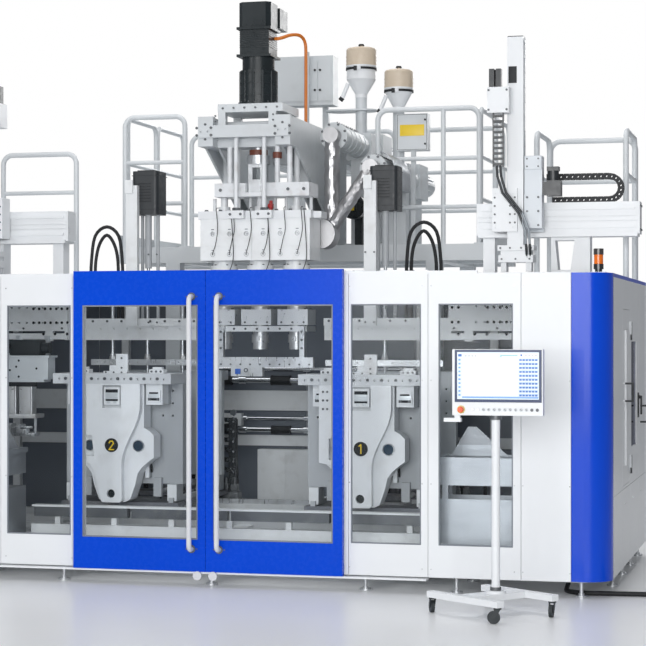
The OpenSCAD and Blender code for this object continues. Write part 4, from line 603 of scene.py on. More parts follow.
for side, s, digit in (("left_", -1, "2"), ("right_", 1, "1")):
    x0, body = s * STATION, side + "casting"

    @part(black_plastic, body, side)
    def badge(bm):
        rod_y(bm, x0, CAST_Y, CAST_Y - 0.004, BADGE_Z, 0.050, 48)
        add_ring(bm, (x0, CAST_Y - 0.004, BADGE_Z), FWD, 0.046, 0.050, 0.001, 48)
        for c, t in spokes(4):
            rod_y(bm, x0 + 0.041 * c, CAST_Y - 0.004, CAST_Y - 0.0055, BADGE_Z + 0.041 * t, 0.003, 12)

    @part(yellow, body, side, slot="black_plastic")
    def numeral(bm):
        for i, (a, b) in enumerate(DIGITS[digit]):
            stroke(bm, (x0 + a[0], BADGE_Z + a[1]), (x0 + b[0], BADGE_Z + b[1]), CAST_Y - 0.004, 0.0042,
                0.0012 + 0.0001 * i)

    @part(dark_steel, body, side)
    def casting_bolts(bm):
        bolts(bm, [(x0 + dx, CAST_Y - 0.004, 1.383) for dx in (-0.35, -0.25, -0.15, -0.05, 0.05, 0.15, 0.25,
            0.35)], 0.011, 0.009)
        bolts(bm, [(x0 + dx, CAST_Y, 1.30 - 0.06 * k) for dx in (-0.27, -0.24) for k in range(3)], 0.008,
            0.006)
        for dx in (-0.3, 0.3):
            bolts(bm, [(x0 + dx + e, -0.705, 1.235) for e in (-0.03, 0.03)], 0.008, 0.006)

    @part(chrome, body, side)
    def pin_rings(bm):
        for dx in (-0.185, 0.185):
            add_ring(bm, (x0 + dx, -0.706, PIN_CENTRE), FWD, 0.0365, 0.0425, 0.005, 48)

    @part(pin_glass, body, side)
    def pin_caps(bm):
        for dx in (-0.185, 0.185):
            rod_y(bm, x0 + dx, -0.706, -0.709, PIN_CENTRE, 0.0363, 48, 0.034)
            rod_y(bm, x0 + dx, -0.709, -0.7095, PIN_CENTRE, 0.012, 24)

    @part(platen, body, side)
    def clamp_faces(bm):
        """Steel clamp bars with a ribbed foot, in the recess and on the two side blocks."""
        add_box(bm, (x0 - 0.047, CAST_Y + 0.0022, 1.236), (x0 + 0.047, CAST_Y + 0.0041, 1.283), 0.0008)
        for e in (-0.024, 0.024):
            add_box(bm, (x0 + e - 0.012, CAST_Y + 0.0020, 1.206), (x0 + e + 0.012, CAST_Y + 0.0041, 1.222),
                0.0008)
        for dx in (-0.3, 0.3):
            add_box(bm, (x0 + dx - 0.043, -0.7062, 1.244), (x0 + dx + 0.043, -0.7039, 1.274), 0.0008)

    @part(slot_black, body, side)
    def clamp_slots(bm):
        for a, c in ((1.222, 1.236), (1.283, 1.306)):
            add_box(bm, (x0 - 0.047, CAST_Y + 0.0030, a), (x0 + 0.047, CAST_Y + 0.0041, c))
        for dx in (-0.3, 0.3):
            add_box(bm, (x0 + dx - 0.043, -0.7050, 1.226), (x0 + dx + 0.043, -0.7039, 1.244))
            add_box(bm, (x0 + dx - 0.034, -0.7050, 1.274), (x0 + dx + 0.034, -0.7039, 1.286))

    @part(black_enamel, body, side)
    def lower_pin(bm):
        c = x0 - 0.006
        rod_y(bm, c, -0.735, -0.600, LOW_PIN_Z, 0.0307, 40)
        add_ring(bm, (c, -0.735, LOW_PIN_Z), FWD, 0.012, 0.024, 0.004, 32)
        rod_y(bm, c, -0.735, -0.737, LOW_PIN_Z, 0.010, 6)

    @part(frame_white, body, side)
    def top_plate(bm):
        """A stop plate on its foot and two blocks, on the platen's top edge."""
        add_box(bm, (x0 + 0.010, -0.700, TOP_Z), (x0 + 0.100, -0.682, 1.560), 0.002)
        add_box(bm, (x0 - 0.080, -0.715, TOP_Z), (x0 + 0.100, -0.660, 1.436), 0.002)
        add_box(bm, (x0 - 0.040, -0.698, 1.436), (x0 + 0.012, -0.686, 1.478), 0.002)
        for dx in (-0.30, 0.27):
            add_box(bm, (x0 + dx, -0.720, TOP_Z), (x0 + dx + 0.11, -0.640, 1.450), 0.003)
            add_box(bm, (x0 + dx + 0.02, -0.700, 1.450), (x0 + dx + 0.09, -0.655, 1.466), 0.003)

    @part(dark_steel, body, side)
    def top_bolts(bm):
        bolts(bm, [(x0 + dx, -0.715, 1.428) for dx in (-0.06, 0.0, 0.06)], 0.006, 0.005)
        bolts(bm, [(x0 + dx + e, -0.720, 1.435) for dx in (-0.30, 0.27) for e in (0.02, 0.055, 0.09)],
            0.008, 0.006)
        bolts(bm, [(x0 + 0.055, -0.700, z) for z in (1.46, 1.53)], 0.007, 0.006)

    @part(rubber, body, side)
    def clamp_hoses(bm):
        for k, (dx, r) in enumerate(((-0.20, 0.011), (-0.165, 0.009), (0.16, 0.011), (0.20, 0.009))):
            x = x0 + dx
            add_tube(bm, [(x, -0.52, 0.96 + 0.02 * k), (x, -0.545, 0.93), (x + 0.01, -0.552, 0.84),
                (x + 0.025, -0.548, 0.76), (x + 0.02, -0.52, 0.70)], r, 8, 4)


@part(rubber)
def bay_hoses(bm):
    """Hydraulic hoses that hang behind the stations, from the ring of the base frame."""
    for s in (-1, 1):
        for k in range(6):
            x = s * (0.42 + 0.19 * k)
            top = 0.93 - 0.04 * (k % 3)
            add_tube(bm, [(x, 0.66, 0.47), (x + 0.01 * s, 0.70, 0.60), (x + 0.05 * s, 0.73, top),
                (x + 0.13 * s, 0.73, top + 0.03), (x + 0.17 * s, 0.70, 0.62), (x + 0.18 * s, 0.66, 0.47)],
                0.014, 8, 4)


@part(dark_steel, slot="charcoal_plastic")
def valve_blocks(bm):
    for s in (-1, 1):
        for k in range(3):
            x = s * (0.50 + 0.42 * k)
            add_box(bm, (x - 0.11, 0.60, 0.402), (x + 0.11, 0.70, 0.47), 0.004)
            for j in range(3):
                c = x - 0.07 + 0.07 * j
                add_box(bm, (c - 0.024, 0.615, 0.470), (c + 0.024, 0.685, 0.53), 0.004)
                rod_z(bm, c, 0.65, 0.53, 0.58, 0.017)


@part(dirty_white)
def rear_ducts(bm):
    """Trays and boxes on the inner side of the rear wall, seen between the stations."""
    for x0, x1 in ((-0.905, 0.905), (1.150, 1.495), (-1.495, -1.150), (1.575, 2.460), (-2.460, -1.575)):
        add_box(bm, (x0, 1.172, 1.085), (x1, WALL_Y, 1.235), 0.003)
        add_box(bm, (x0, 1.166, 1.218), (x1, WALL_Y, 1.246), 0.002)
        add_box(bm, (x0, 1.180, 0.800), (x1, WALL_Y, 0.885), 0.003)
    add_box(bm, (-0.380, 1.100, 0.300), (0.080, WALL_Y, 0.775), 0.004)
    add_box(bm, (-0.365, 1.096, 0.320), (-0.155, 1.100, 0.755), 0.002)
    add_box(bm, (-0.145, 1.096, 0.320), (0.065, 1.100, 0.755), 0.002)
    for x in (-0.70, 0.42):
        add_box(bm, (x, 1.130, 0.960), (x + 0.17, WALL_Y, 1.060), 0.004)


@part(chrome)
def rear_pipes(bm):
    for z, y, r in ((1.420, 1.165, 0.018), (1.330, 1.160, 0.024), (1.020, 1.185, 0.014),
            (0.930, 1.170, 0.020)):
        add_rod(bm, (-0.905, y, z), (0.905, y, z), r, 24)
        for x in (-0.78, -0.52, 0.02, 0.46, 0.80):
            add_ring(bm, (x - 0.03, y, z), (1, 0, 0), r - 0.0003, r + 0.008, 0.060, 24)
            add_box(bm, (x - 0.016, y + r * 0.6, z - 0.012), (x + 0.016, WALL_Y, z + 0.012))


@part(black_plastic)
def rear_sleeves(bm):
    for z, y, r in ((1.330, 1.160, 0.0243), (0.930, 1.170, 0.0203)):
        for x, w in ((-0.66, 0.10), (-0.20, 0.16), (0.20, 0.12), (0.62, 0.09)):
            add_ring(bm, (x - w / 2, y, z), (1, 0, 0), r - 0.0004, r + 0.012, w, 24)
            for e in (-w / 2, w / 2 - 0.008):
                add_ring(bm, (x + e, y, z), (1, 0, 0), r + 0.0115, r + 0.016, 0.008, 24)


@part(charcoal)
def valve_stack(bm):
    """Two manifold columns behind each station, with valve bodies on their front."""
    for s in (-1, 1):
        for k, x in enumerate((0.455, 0.60)):
            c = s * x
            add_box(bm, (c - 0.030, 0.655, 0.399), (c + 0.030, 0.715, 1.035 - 0.11 * k), 0.004)
            for j in range(6 - k):
                z = 0.640 + 0.078 * j - 0.03 * k
                w = 0.045 + 0.012 * ((j + k) % 2)
                add_box(bm, (c - w, 0.640, z - 0.018), (c + 0.040, 0.655, z + 0.018), 0.003)
                add_rod(bm, (c - w, 0.675, z), (c - w - 0.030, 0.675, z + 0.012), 0.013, 16)


@part(chrome)
def valve_fittings(bm):
    for s in (-1, 1):
        for k, x in enumerate((0.455, 0.60)):
            c = s * x
            for j in range(6 - k):
                z = 0.640 + 0.078 * j - 0.03 * k
                add_rod(bm, (c - 0.022, 0.640, z), (c - 0.022, 0.622, z + 0.004), 0.010, 6)
                add_rod(bm, (c + 0.016, 0.640, z - 0.004), (c + 0.022, 0.615, z - 0.012), 0.008, 12)
                add_ring(bm, (c - 0.001 + 0.02 * (j % 2), 0.640, z + 0.009), FWD, 0.004, 0.0075, 0.010, 16)
            rod_z(bm, c, 0.685, 1.035 - 0.11 * k, 1.070 - 0.11 * k, 0.009, 12)
            rod_y(bm, c, 0.676, 0.694, 1.086 - 0.11 * k, 0.024, 28)


PLATE_X = {1: (1.4765, 1.5230, 1.7310, 1.7765, 1.8210, 1.8670),
           -1: (1.4470, 1.4920, 1.5360, 1.5820, 1.6270, 1.6740, 1.7200)}
BAR_X = {1: (1.5230, 1.6410, 1.7270, 1.8670), -1: (1.4470, 1.5440, 1.6370)}


@part(slot_black)
def plate_holes(bm):
    """Rows of holes in the plates and bars above the blow heads."""
    for s in (-1, 1):
        for x in PLATE_X[s]:
            for z in (1.788, 1.8925):
                add_ring(bm, (s * x, -0.3, z), FWD, 0.0045, 0.0105, 0.0012, 20)
                rod_y(bm, s * x, -0.3, -0.3006, z, 0.0046, 16)
        for x in BAR_X[s]:
            rod_y(bm, s * x, -0.306, -0.3072, 1.7035, 0.011, 20, 0.009)


@part(white)
def bar_strips(bm):
    for s in (-1, 1):
        add_box(bm, (min(s * 1.46, s * 1.90), -0.3145, 1.664), (max(s * 1.46, s * 1.90), -0.306, 1.676),
            0.001)
        add_box(bm, (min(s * 1.73, s * 1.90), -0.3185, 1.668), (max(s * 1.73, s * 1.90), -0.3145, 1.686),
            0.001)


@part(platen)
def bay_blocks(bm):
    """Cooling station in the left bay: a drilled steel block over open boxes."""
    add_box(bm, (-2.060, -0.620, 1.370), (-1.470, -0.480, 1.530), 0.004)
    add_box(bm, (-2.075, -0.630, 1.530), (-1.455, -0.470, 1.545), 0.003)
    add_box(bm, (-2.040, -0.625, 1.350), (-1.500, -0.490, 1.370), 0.003)
    for x in (-1.850, -1.620):
        add_box(bm, (x, -0.475, 1.5445), (x + 0.040, -0.3058, 1.560), 0.002)
        add_box(bm, (x, -0.330, 1.5445), (x + 0.040, -0.3058, 1.690), 0.002)


@part(die_steel)
def bay_boxes(bm):
    for x0, x1 in ((-2.075, -1.870), (-1.835, -1.735), (-1.705, -1.610)):
        add_box(bm, (x0, -0.600, 1.115), (x1, -0.500, 1.325), 0.004)
    add_box(bm, (-2.075, -0.640, 1.085), (-1.560, -0.470, 1.115), 0.003)
    for x in (-1.862, -1.728, -1.600):
        rod_z(bm, x, -0.615, 1.115, 1.350, 0.008, 16)


@part(slot_black)
def bay_holes(bm):
    for x, z in ((-1.99, 1.508), (-1.86, 1.508), (-1.70, 1.508), (-1.99, 1.39), (-1.86, 1.39),
            (-1.70, 1.39), (-2.03, 1.45), (-1.80, 1.463), (-1.77, 1.437), (-1.72, 1.463), (-1.56, 1.45)):
        rod_y(bm, x, -0.620, -0.6212, z, 0.0085, 20, 0.007)
    add_box(bm, (-2.02, -0.6265, 1.318), (-1.56, -0.600, 1.350), 0.003)


@part(charcoal)
def bay_motor(bm):
    add_box(bm, (-1.800, -0.560, 1.545), (-1.560, -0.440, 1.660), 0.010)
    add_rod(bm, (-1.560, -0.500, 1.600), (-1.500, -0.500, 1.600), 0.040, 28)


@part(rubber)
def bay_hose(bm):
    pts = [(-2.290, -0.740, 2.098), (-2.280, -0.745, 2.010), (-2.215, -0.755, 1.890), (-2.120, -0.760, 1.800),
           (-2.060, -0.750, 1.735), (-1.970, -0.720, 1.680), (-1.880, -0.660, 1.640), (-1.799, -0.550, 1.612)]
    add_tube(bm, pts, 0.016, 16, 8)


@part(orange)
def hose_clip(bm):
    add_ring(bm, (-2.062, -0.7505, 1.737), (0.74, 0.08, -0.66), 0.0158, 0.0225, 0.022, 28)


@part(steel)
def bay_clutter(bm):
    """Small slides and fittings over the left chute."""
    for k in range(4):
        x = -2.02 + 0.11 * k
        add_box(bm, (x, -0.720 + 0.02 * (k % 2), 0.975), (x + 0.085, -0.640, 1.010 + 0.02 * (k % 3)), 0.004)
        rod_y(bm, x + 0.04, -0.730, -0.640, 1.030, 0.016, 24)
    add_rod(bm, (-2.05, -0.652, 1.020), (-1.58, -0.652, 1.020), 0.010, 20)
    for x in (-2.06, -1.575):
        add_box(bm, (x - 0.008, -0.608, 0.975), (x + 0.008, -0.592, 1.0855), 0.001)
    add_box(bm, (-2.075, -0.660, 0.955), (-1.560, -0.560, 0.976), 0.002)


# Blow units: bolts on beams, caps on the covers, fittings of the blow pins
BEAM_Y = -0.070


@part(dark_steel)
def beam_bolts(bm):
    for s in (-1, 1):
        bolts(bm, [(s * (0.52 + 0.115 * k), BEAM_Y - 0.020, 1.800) for k in range(9)], 0.009)
        bolts(bm, [(s * (0.92 + dx), BEAM_Y - 0.050, z) for dx in (-0.118, -0.052)
            for z in (1.79, 2.0, 2.3)], 0.007)
        bolts(bm, [(s * x, -0.300, z) for x in (1.49, 1.80, 2.10, 2.40) for z in (1.745, 1.94)], 0.008)


@part(black_plastic)
def motor_cover_trim(bm):
    """Seams, a lid and cooling slots of the black covers over the lift motors."""
    for x in (-0.918, 0.922):
        for z in (2.640, 2.895):
            add_box(bm, (x - 0.1035, -0.0705, z), (x + 0.1035, 0.1505, z + 0.004), 0.001)
        add_box(bm, (x - 0.070, -0.040, 2.931), (x + 0.070, 0.120, 2.940), 0.004)
        for k in range(7):
            add_box(bm, (x - 0.05, -0.0735, 2.700 + 0.022 * k), (x + 0.05, -0.0705, 2.708 + 0.022 * k), 0.001)


for side, s in (("left_", -1), ("right_", 1)):
    @part(die_steel, side + "blow_head", side)
    def blow_fittings(bm):
        for dx in (-0.28, 0, 0.28):
            x = s * STATION + dx
            rod_z(bm, x, 0, 1.512, 1.535, 0.026, 6)
            add_ring(bm, (x, 0, 1.535), UP, 0.0143, 0.021, 0.018)
            rod_z(bm, x, 0, 1.398, 1.388, 0.015, 20, 0.011)
        bolts(bm, [(s * STATION + 0.07 * k, -0.040, 1.490) for k in range(-5, 6)], 0.006, 0.005)

# Head: heater screws, wires, flange bolts, dies
HEAD_X = -0.030
HEAD_Y = -0.150
HEAD_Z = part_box("head_block")[1][2]
DIES = [HEAD_X - 0.28, HEAD_X, HEAD_X + 0.28]


def heater_x(k):
    return HEAD_X - 0.42 + 0.095 + 0.13 * k


@part(steel)
def heater_rings(bm):
    for k in range(6):
        x = heater_x(k)
        for z in (HEAD_Z - 0.110, HEAD_Z - 0.262):
            add_ring(bm, (x, HEAD_Y, z), FWD, 0.0135, 0.0185, 0.004, 28)
            rod_y(bm, x, HEAD_Y + 0.012, HEAD_Y - 0.001, z, 0.0075, 6)


@part(gasket, slot="black_plastic")
def heater_marks(bm):
    for k in range(6):
        x = heater_x(k)
        add_box(bm, (x - 0.011, HEAD_Y - 0.0015, HEAD_Z - 0.080), (x + 0.011, HEAD_Y + 0.001, HEAD_Z - 0.074))
        add_box(bm, (x - 0.008, HEAD_Y - 0.0015, HEAD_Z - 0.234), (x + 0.008, HEAD_Y + 0.001, HEAD_Z - 0.229))


@part(black_plastic)
def head_wires(bm):
    y = HEAD_Y - 0.012
    for k in range(6):
        x = heater_x(k)
        drop = 0.02 * ((k * 5) % 3)
        add_tube(bm, [(x, y + 0.010, HEAD_Z - 0.262), (x + 0.006, y - 0.010, HEAD_Z - 0.255),
            (x + 0.030, y - 0.012, HEAD_Z - 0.19 + drop), (x + 0.045, y - 0.008, HEAD_Z - 0.08),
            (x + 0.040, y - 0.010, HEAD_Z + 0.02), (x + 0.034, y - 0.004, HEAD_Z + 0.075),
            (x + 0.030, y + 0.060, HEAD_Z + 0.085)], 0.0028, 6, 4)
    for x in DIES:
        add_tube(bm, [(x + 0.04, -0.081, 2.12), (x + 0.06, -0.115, 2.14), (x + 0.10, -0.165, 2.19),
            (x + 0.12, -0.168, 2.26), (x + 0.115, -0.160, 2.40), (x + 0.10, -0.162, 2.62)], 0.0032, 6, 4)


@part(dark_steel)
def cap_bolts(bm):
    top = HEAD_Z + 0.058
    for k in range(8):
        for y in (-0.125, 0.125):
            x = HEAD_X - 0.38 + 0.108 * k
            rod_z(bm, x, y, top, top + 0.012, 0.013, 6)
            add_ring(bm, (x, y, top), UP, 0.0125, 0.018, 0.003)
    bolts(bm, [(x + dx, -0.214, HEAD_Z + 0.03) for x in (-0.160, 0.055) for dx in (-0.04, 0.04)], 0.010)
    for x in (-0.160, 0.055):
        rod_z(bm, x, -0.190, top, top + 0.020, 0.030, 6)
    for x in DIES:
        for c, t in spokes(6):
            rod_z(bm, x + 0.092 * c, 0.092 * t, 2.214, 2.222, 0.008, 6)


@part(die_steel)
def die_heaters(bm):
    """Band heaters with their clamp screws round the three necks."""
    for x in DIES:
        for z in (1.965, 2.035):
            add_ring(bm, (x, 0, z), UP, 0.0825, 0.0900, 0.052, 40)
            add_box(bm, (x - 0.016, -0.110, z + 0.010), (x + 0.016, -0.088, z + 0.042), 0.003)
        add_ring(bm, (x, 0, 1.640), UP, 0.0553, 0.0640, 0.060, 40)
        add_box(bm, (x - 0.012, -0.080, 1.652), (x + 0.012, -0.062, 1.688), 0.003)


@part(dark_steel)
def die_bolts(bm):
    for x in DIES:
        for k in (-1, 0, 1):
            rod_y(bm, x + 0.085 * k, -0.115, -0.121, 1.790, 0.008, 6)
        for dx in (-0.09, 0.09):
            for y in (-0.09, 0.09):
                rod_z(bm, x + dx, y, 1.885, 1.897, 0.010, 6)
    bolts(bm, [(-0.37 + 0.088 * k, -0.130, 1.742) for k in range(9)], 0.008)


@part(dark_steel)
def cutter_bolts(bm):
    bolts(bm, [(-0.28 + 0.075 * k, -0.180, 1.480) for k in range(10)], 0.007)
    bolts(bm, [(x, -0.180, z) for x in (-0.282, 0.338) for z in (1.60, 1.66, 1.72)], 0.009)
    add_ring(bm, (-0.080, -0.206, 1.4375), FWD, 0.009, 0.016, 0.006)


@part(surface("sensor_blue", (0.02, 0.12, 0.50), rough=(0.3, 0.4)))
def cutter_sensor(bm):
    add_box(bm, (-0.165, -0.206, 1.408), (-0.125, -0.192, 1.448), 0.004)
    rod_y(bm, -0.145, -0.206, -0.2095, 1.428, 0.008)


# Hanging frame and drive
DRIVE_X = -0.044


@part(brass)
def brown_rings(bm):
    add_ring(bm, (DRIVE_X, 0, 3.032), UP, 0.0525, 0.068, 0.040, 48)
    add_ring(bm, (0.130, -0.100, 3.000), UP, 0.0205, 0.034, 0.045, 32)


@part(dark_steel)
def frame_bolts(bm):
    bolts(bm, [(-0.09 + 0.30 * s + dx, -0.250, z) for s in (-1, 1) for dx in (-0.055, 0.055)
        for z in (3.168, 3.222)], 0.010)
    for x in (-0.287, 0.155):
        bolts(bm, [(x - 0.02, -0.230, z) for z in (3.27, 3.31)], 0.007)
    bolts(bm, [(-0.25 + 0.083 * k, -0.230, 3.365) for k in range(6)], 0.008)
    for x in (-0.3, -0.18, 0.22, 0.34):
        bolts(bm, [(x, -0.130, 2.77)], 0.012)
    for b in (-0.386, 0.206):
        bolts(bm, [(b, -0.230, z) for z in (3.14, 3.25)], 0.009)
    for c, t in spokes(12, 15):
        rod_z(bm, DRIVE_X + 0.145 * c, 0.145 * t, 3.419, 3.428, 0.006, 6)


@part(black_enamel)
def drive_rings(bm):
    for z in (3.470, 3.560, 3.640):
        add_ring(bm, (DRIVE_X, 0, z), UP, 0.1380, 0.1435, 0.010, 64)
    for k in range(8):
        z = 3.825 + 0.016 * k
        add_box(bm, (DRIVE_X - 0.1145, -0.1145, z), (DRIVE_X + 0.1145, 0.1145, z + 0.006), 0.002)


@part(valve_red)
def red_valve(bm):
    rod_z(bm, 0.075, -0.080, 2.612, 2.690, 0.013, 20)
    add_box(bm, (0.058, -0.096, 2.632), (0.092, -0.064, 2.668), 0.005)
    rod_y(bm, 0.075, -0.096, -0.112, 2.650, 0.017, 20)


# Melt pipe in crumpled foil, put on as a wrinkled sleeve round the solid's pipes
@part(foil, angle=0.25)
def foil_sleeve(bm):
    y = 0.280
    runs = [((0.445, y + 0.02, 2.47), (0.445, y + 0.02, 3.12), 0.0545),
            ((0.432, y, 2.49), (0.742, y, 2.93), 0.0485)]
    for p, q, r in runs:
        p, q = Vector(p), Vector(q)
        n, rings = 26, 34
        m = Matrix.Translation(p) @ (q - p).to_track_quat("Z", "Y").to_matrix().to_4x4()
        rows = []
        for i in range(rings + 1):
            z = (q - p).length * i / rings
            row = []
            for k in range(n):
                a = 2 * math.pi * k / n
                w = r + 0.0010 + 0.0045 * rnd.random() + 0.002 * math.sin(z * 60 + 3 * math.sin(a * 2))
                row.append(bm.verts.new(m @ Vector((w * math.cos(a), w * math.sin(a), z))))
            rows.append(row)
        skin(bm, rows)


# Extruders, hoppers, control boxes, blower
THROAT_Y = 1.250
hopper_list = [(0.445, 3.597, 0.245, 0.1175), (0.752, 3.490, 0.165, 0.1115)]


@part(black_plastic)
def hopper_bands(bm):
    for x, z, h, r in hopper_list:
        add_ring(bm, (x, THROAT_Y, z + h - 0.026), UP, r + 0.0003, r + 0.007, 0.018, 48)
        add_box(bm, (x - 0.030, THROAT_Y - r - 0.030, z + h - 0.040), (x - 0.004, THROAT_Y - r - 0.012,
            z + h - 0.004), 0.003)
        add_rod(bm, (x - r - 0.034, THROAT_Y - 0.020, z + 0.004), (x - r - 0.052, THROAT_Y - 0.020,
            z - 0.018), 0.020)
        rod_z(bm, x, THROAT_Y, z + h + 0.172, z + h + 0.186, 0.026, 24, 0.020)


@part(beige)
def lid_ribs(bm):
    for x, z, h, r in hopper_list:
        for k in range(3):
            add_ring(bm, (x, THROAT_Y, z + h + 0.018 + 0.030 * k), UP, r + 0.0029, r + 0.0050, 0.008, 48)


@part(dark_steel)
def barrel_bands(bm):
    for x, z in ((0.445, 3.200), (0.752, 2.950)):
        for y in (0.440, 0.580, 0.720, 0.860, 1.000):
            add_box(bm, (x - 0.014, y + 0.012, z + 0.094), (x + 0.014, y + 0.093, z + 0.112), 0.003)
            for e in (0.02, 0.085):
                rod_z(bm, x, y + e, z + 0.1, z + 0.120, 0.006, 6)
        for c, t in spokes(8, 22.5):
            place = Vector((x + 0.094 * c, 0.350, z + 0.094 * t))
            add_rod(bm, place, place + Vector((0, -0.012, 0)), 0.010, 6)


@part(black_plastic)
def box_locks(bm):
    for x, z in ((0.085, 3.66), (0.085, 3.82), (0.128, 3.66), (0.128, 3.82)):
        rod_y(bm, x, 1.154, 1.146, z, 0.009, 20)
        add_box(bm, (x - 0.003, 1.1435, z - 0.007), (x + 0.003, 1.1465, z + 0.007))
    for z in (3.20, 3.39):
        rod_y(bm, 1.000, 1.085, 1.077, z, 0.008, 20)
    frame_of(bm, (0.776, 1.014), (1.0835, 1.0852), (3.156, 3.434), 0.003)


@part(yellow)
def cabinet_plate(bm):
    add_box(bm, (0.7975, 1.0822, 3.265), (0.9925, 1.0850, 3.353), 0.0012)


@part(yellow)
def blower_plate(bm):
    add_box(bm, (0.440, 0.8305, 2.668), (0.486, 0.8340, 2.732), 0.0008)


@part(black_enamel)
def blower_fins(bm):
    for k in range(5):
        add_ring(bm, (0.472, 0.840 - 0.0005 * k, 2.700), FWD, 0.050 + 0.0095 * k, 0.054 + 0.0095 * k, 0.004,
            40)
    for k in range(12):
        add_ring(bm, (0.472, 0.935 + 0.014 * k, 2.700), (0, 1, 0), 0.0838, 0.0900, 0.005, 40)


# Take-out robots
for side, s, shift in (("right_", 1, 0.0), ("left_", -1, 0.330)):
    carriage, arm = side + "carriage", side + "arm"

    def X(v):
        return s * (v + shift)

    @part(dark_steel, carriage, side)
    def carriage_bolts(bm):
        bolts(bm, [(X(x), -0.105, z) for x in (1.75, 1.86, 1.895) for z in (2.50, 2.56, 2.62, 2.68)], 0.007,
            0.005)
        bolts(bm, [(X(x), -0.084, z) for x in (1.98, 2.06) for z in (2.48, 2.58, 2.68)], 0.008)
        bolts(bm, [(X(x), -0.088, z) for x in (1.98, 2.06) for z in (2.90, 2.955)], 0.006)

    @part(dark_steel, arm, side)
    def arm_bolts(bm):
        for k in range(14):
            bolts(bm, [(X(1.9565), -0.031, 2.42 + 0.105 * k)], 0.004, 0.002, axis=(s, 0, 0))
        bolts(bm, [(X(x), -0.192, z) for x in (1.72, 1.85) for z in (3.30, 3.44)], 0.008)
        bolts(bm, [(X(x), -0.105, 2.319) for x in (1.79, 1.86, 1.94, 2.01)], 0.007)
        bolts(bm, [(X(x), -0.105, 2.240) for x in (1.80, 1.90, 2.00)], 0.007)

    @part(black_plastic, arm, side)
    def arm_cap(bm):
        x = sorted((X(1.838), X(1.950)))
        add_box(bm, (x[0], -0.078, 3.8321), (x[1], 0.026, 3.838), 0.002)
        x = sorted((X(1.845), X(1.905)))
        add_box(bm, (x[0], -0.0815, 3.50), (x[1], -0.0801, 3.62), 0.0005)


@part(dark_steel)
def robot_beam_bolts(bm):
    for s in (-1, 1):
        bolts(bm, [(s * 2.764, 0.09 + 0.10 * k, z) for k in range(2) for z in (2.45, 2.62)], 0.008,
            axis=(s, 0, 0))
        bolts(bm, [(s * x, 0.10 + 0.08 * k, 2.119) for x in (1.62, 1.735, 2.12, 2.42) for k in range(2)],
            0.009, axis=UP)


# Operator panel: screen, keys, stop button's collar
HMI_Y = -2.220
SCREEN = (1.8720, 2.3700, 1.309, 1.594)


def screen_at(u, v):
    return SCREEN[0] + u * (SCREEN[1] - SCREEN[0]), SCREEN[2] + v * (SCREEN[3] - SCREEN[2])


def tiles(bm, list_, y):
    for u0, v0, u1, v1 in list_:
        (x0, z0), (x1, z1) = screen_at(u0, v0), screen_at(u1, v1)
        add_box(bm, (x0, y - 0.0006, z0), (x1, y, z1))


def glow(name, color, rough=(0.15, 0.25)):
    return surface(name, color, rough=rough, vary=0.03, bump=0.02)


S_Y = HMI_Y - 0.0062
ROWS = [0.815 - 0.083 * k for k in range(10)]
LIFT_1, LIFT_2, LIFT_3 = 0.0002, 0.0009, 0.0016
SCREEN_PIECES = (
    ("screen_ground", "screen_pale", (0.72, 0.83, 0.93), LIFT_1, [(0, 0, 1, 1)]),
    ("screen_white", "screen_bright", (0.86, 0.89, 0.91), LIFT_2,
     [(0.062, 0.075, 0.748, 0.865), (0.10, 0.885, 0.50, 0.975), (0.755, 0.89, 0.99, 0.975)]),
    ("screen_blue", "screen_blue", (0.045, 0.16, 0.50), LIFT_3,
     [(0.762 + 0.038 * i, v, 0.792 + 0.038 * i, v + 0.036) for i in range(6) for v in ROWS]
     + [(0.012, 0.905, 0.055, 0.96), (0.775, 0.915, 0.797, 0.955)]),
    ("screen_icons", "screen_icons", (0.20, 0.40, 0.82), LIFT_2,
     [(0.015, v + 0.002, 0.042, v + 0.042) for v in ROWS] + [(0.062, 0.022, 0.992, 0.058)]
     + [(0.755, v + 0.036, 0.99, v + 0.043) for v in ROWS]),
    ("screen_grey", "screen_grey", (0.50, 0.54, 0.58), LIFT_3,
     [(0.095 + 0.04 * k, 0.905, 0.118 + 0.04 * k, 0.935) for k in range(4)]
     + [(0.10, 0.80 - 0.03 * k, 0.16 + 0.03 * (k % 2), 0.806 - 0.03 * k) for k in range(6)]
     + [(0.17, 0.330, 0.24, 0.336), (0.22, 0.165, 0.42, 0.170)]
     + [(0.83 + 0.04 * k, 0.925, 0.855 + 0.04 * k, 0.945) for k in range(4)]),
    ("screen_green", "screen_green", (0.16, 0.50, 0.52), LIFT_2,
     [(0.53, 0.925, 0.74, 0.940), (0.53, 0.902, 0.545, 0.917)]),
)
for name, paint_name, colour, lift, places in SCREEN_PIECES:
    def screen_part(bm):
        tiles(bm, places, S_Y - lift)
        if name == "screen_ground":
            add_box(bm, (SCREEN[0] + 0.002, S_Y - 0.0012, SCREEN[3] - 0.004),
                (SCREEN[1] - 0.002, S_Y - 0.0006, SCREEN[3] - 0.003))
    piece(name, glow(paint_name, colour), screen_part, slot="clear_pane")

STOP_X, KEY_Z = 1.895, 1.246


def key_x(k):
    return 1.966 + 0.0328 * k


for name, paint_name, colour, rough, which in (
        ("keys_lit", "key_white", (0.90, 0.91, 0.90), (0.15, 0.25), (0, 1)),
        ("keys_pale", "key_pale", (0.50, 0.53, 0.55), (0.3, 0.4), range(2, 11)),
        ("keys_dark", "key_grey", (0.10, 0.11, 0.12), (0.3, 0.4), (11, 12))):
    def keys(bm):
        for k in which:
            rod_y(bm, key_x(k), HMI_Y - 0.004, HMI_Y - 0.0075, KEY_Z, 0.0098, 24, 0.0085)
    piece(name, glow(paint_name, colour, rough), keys)


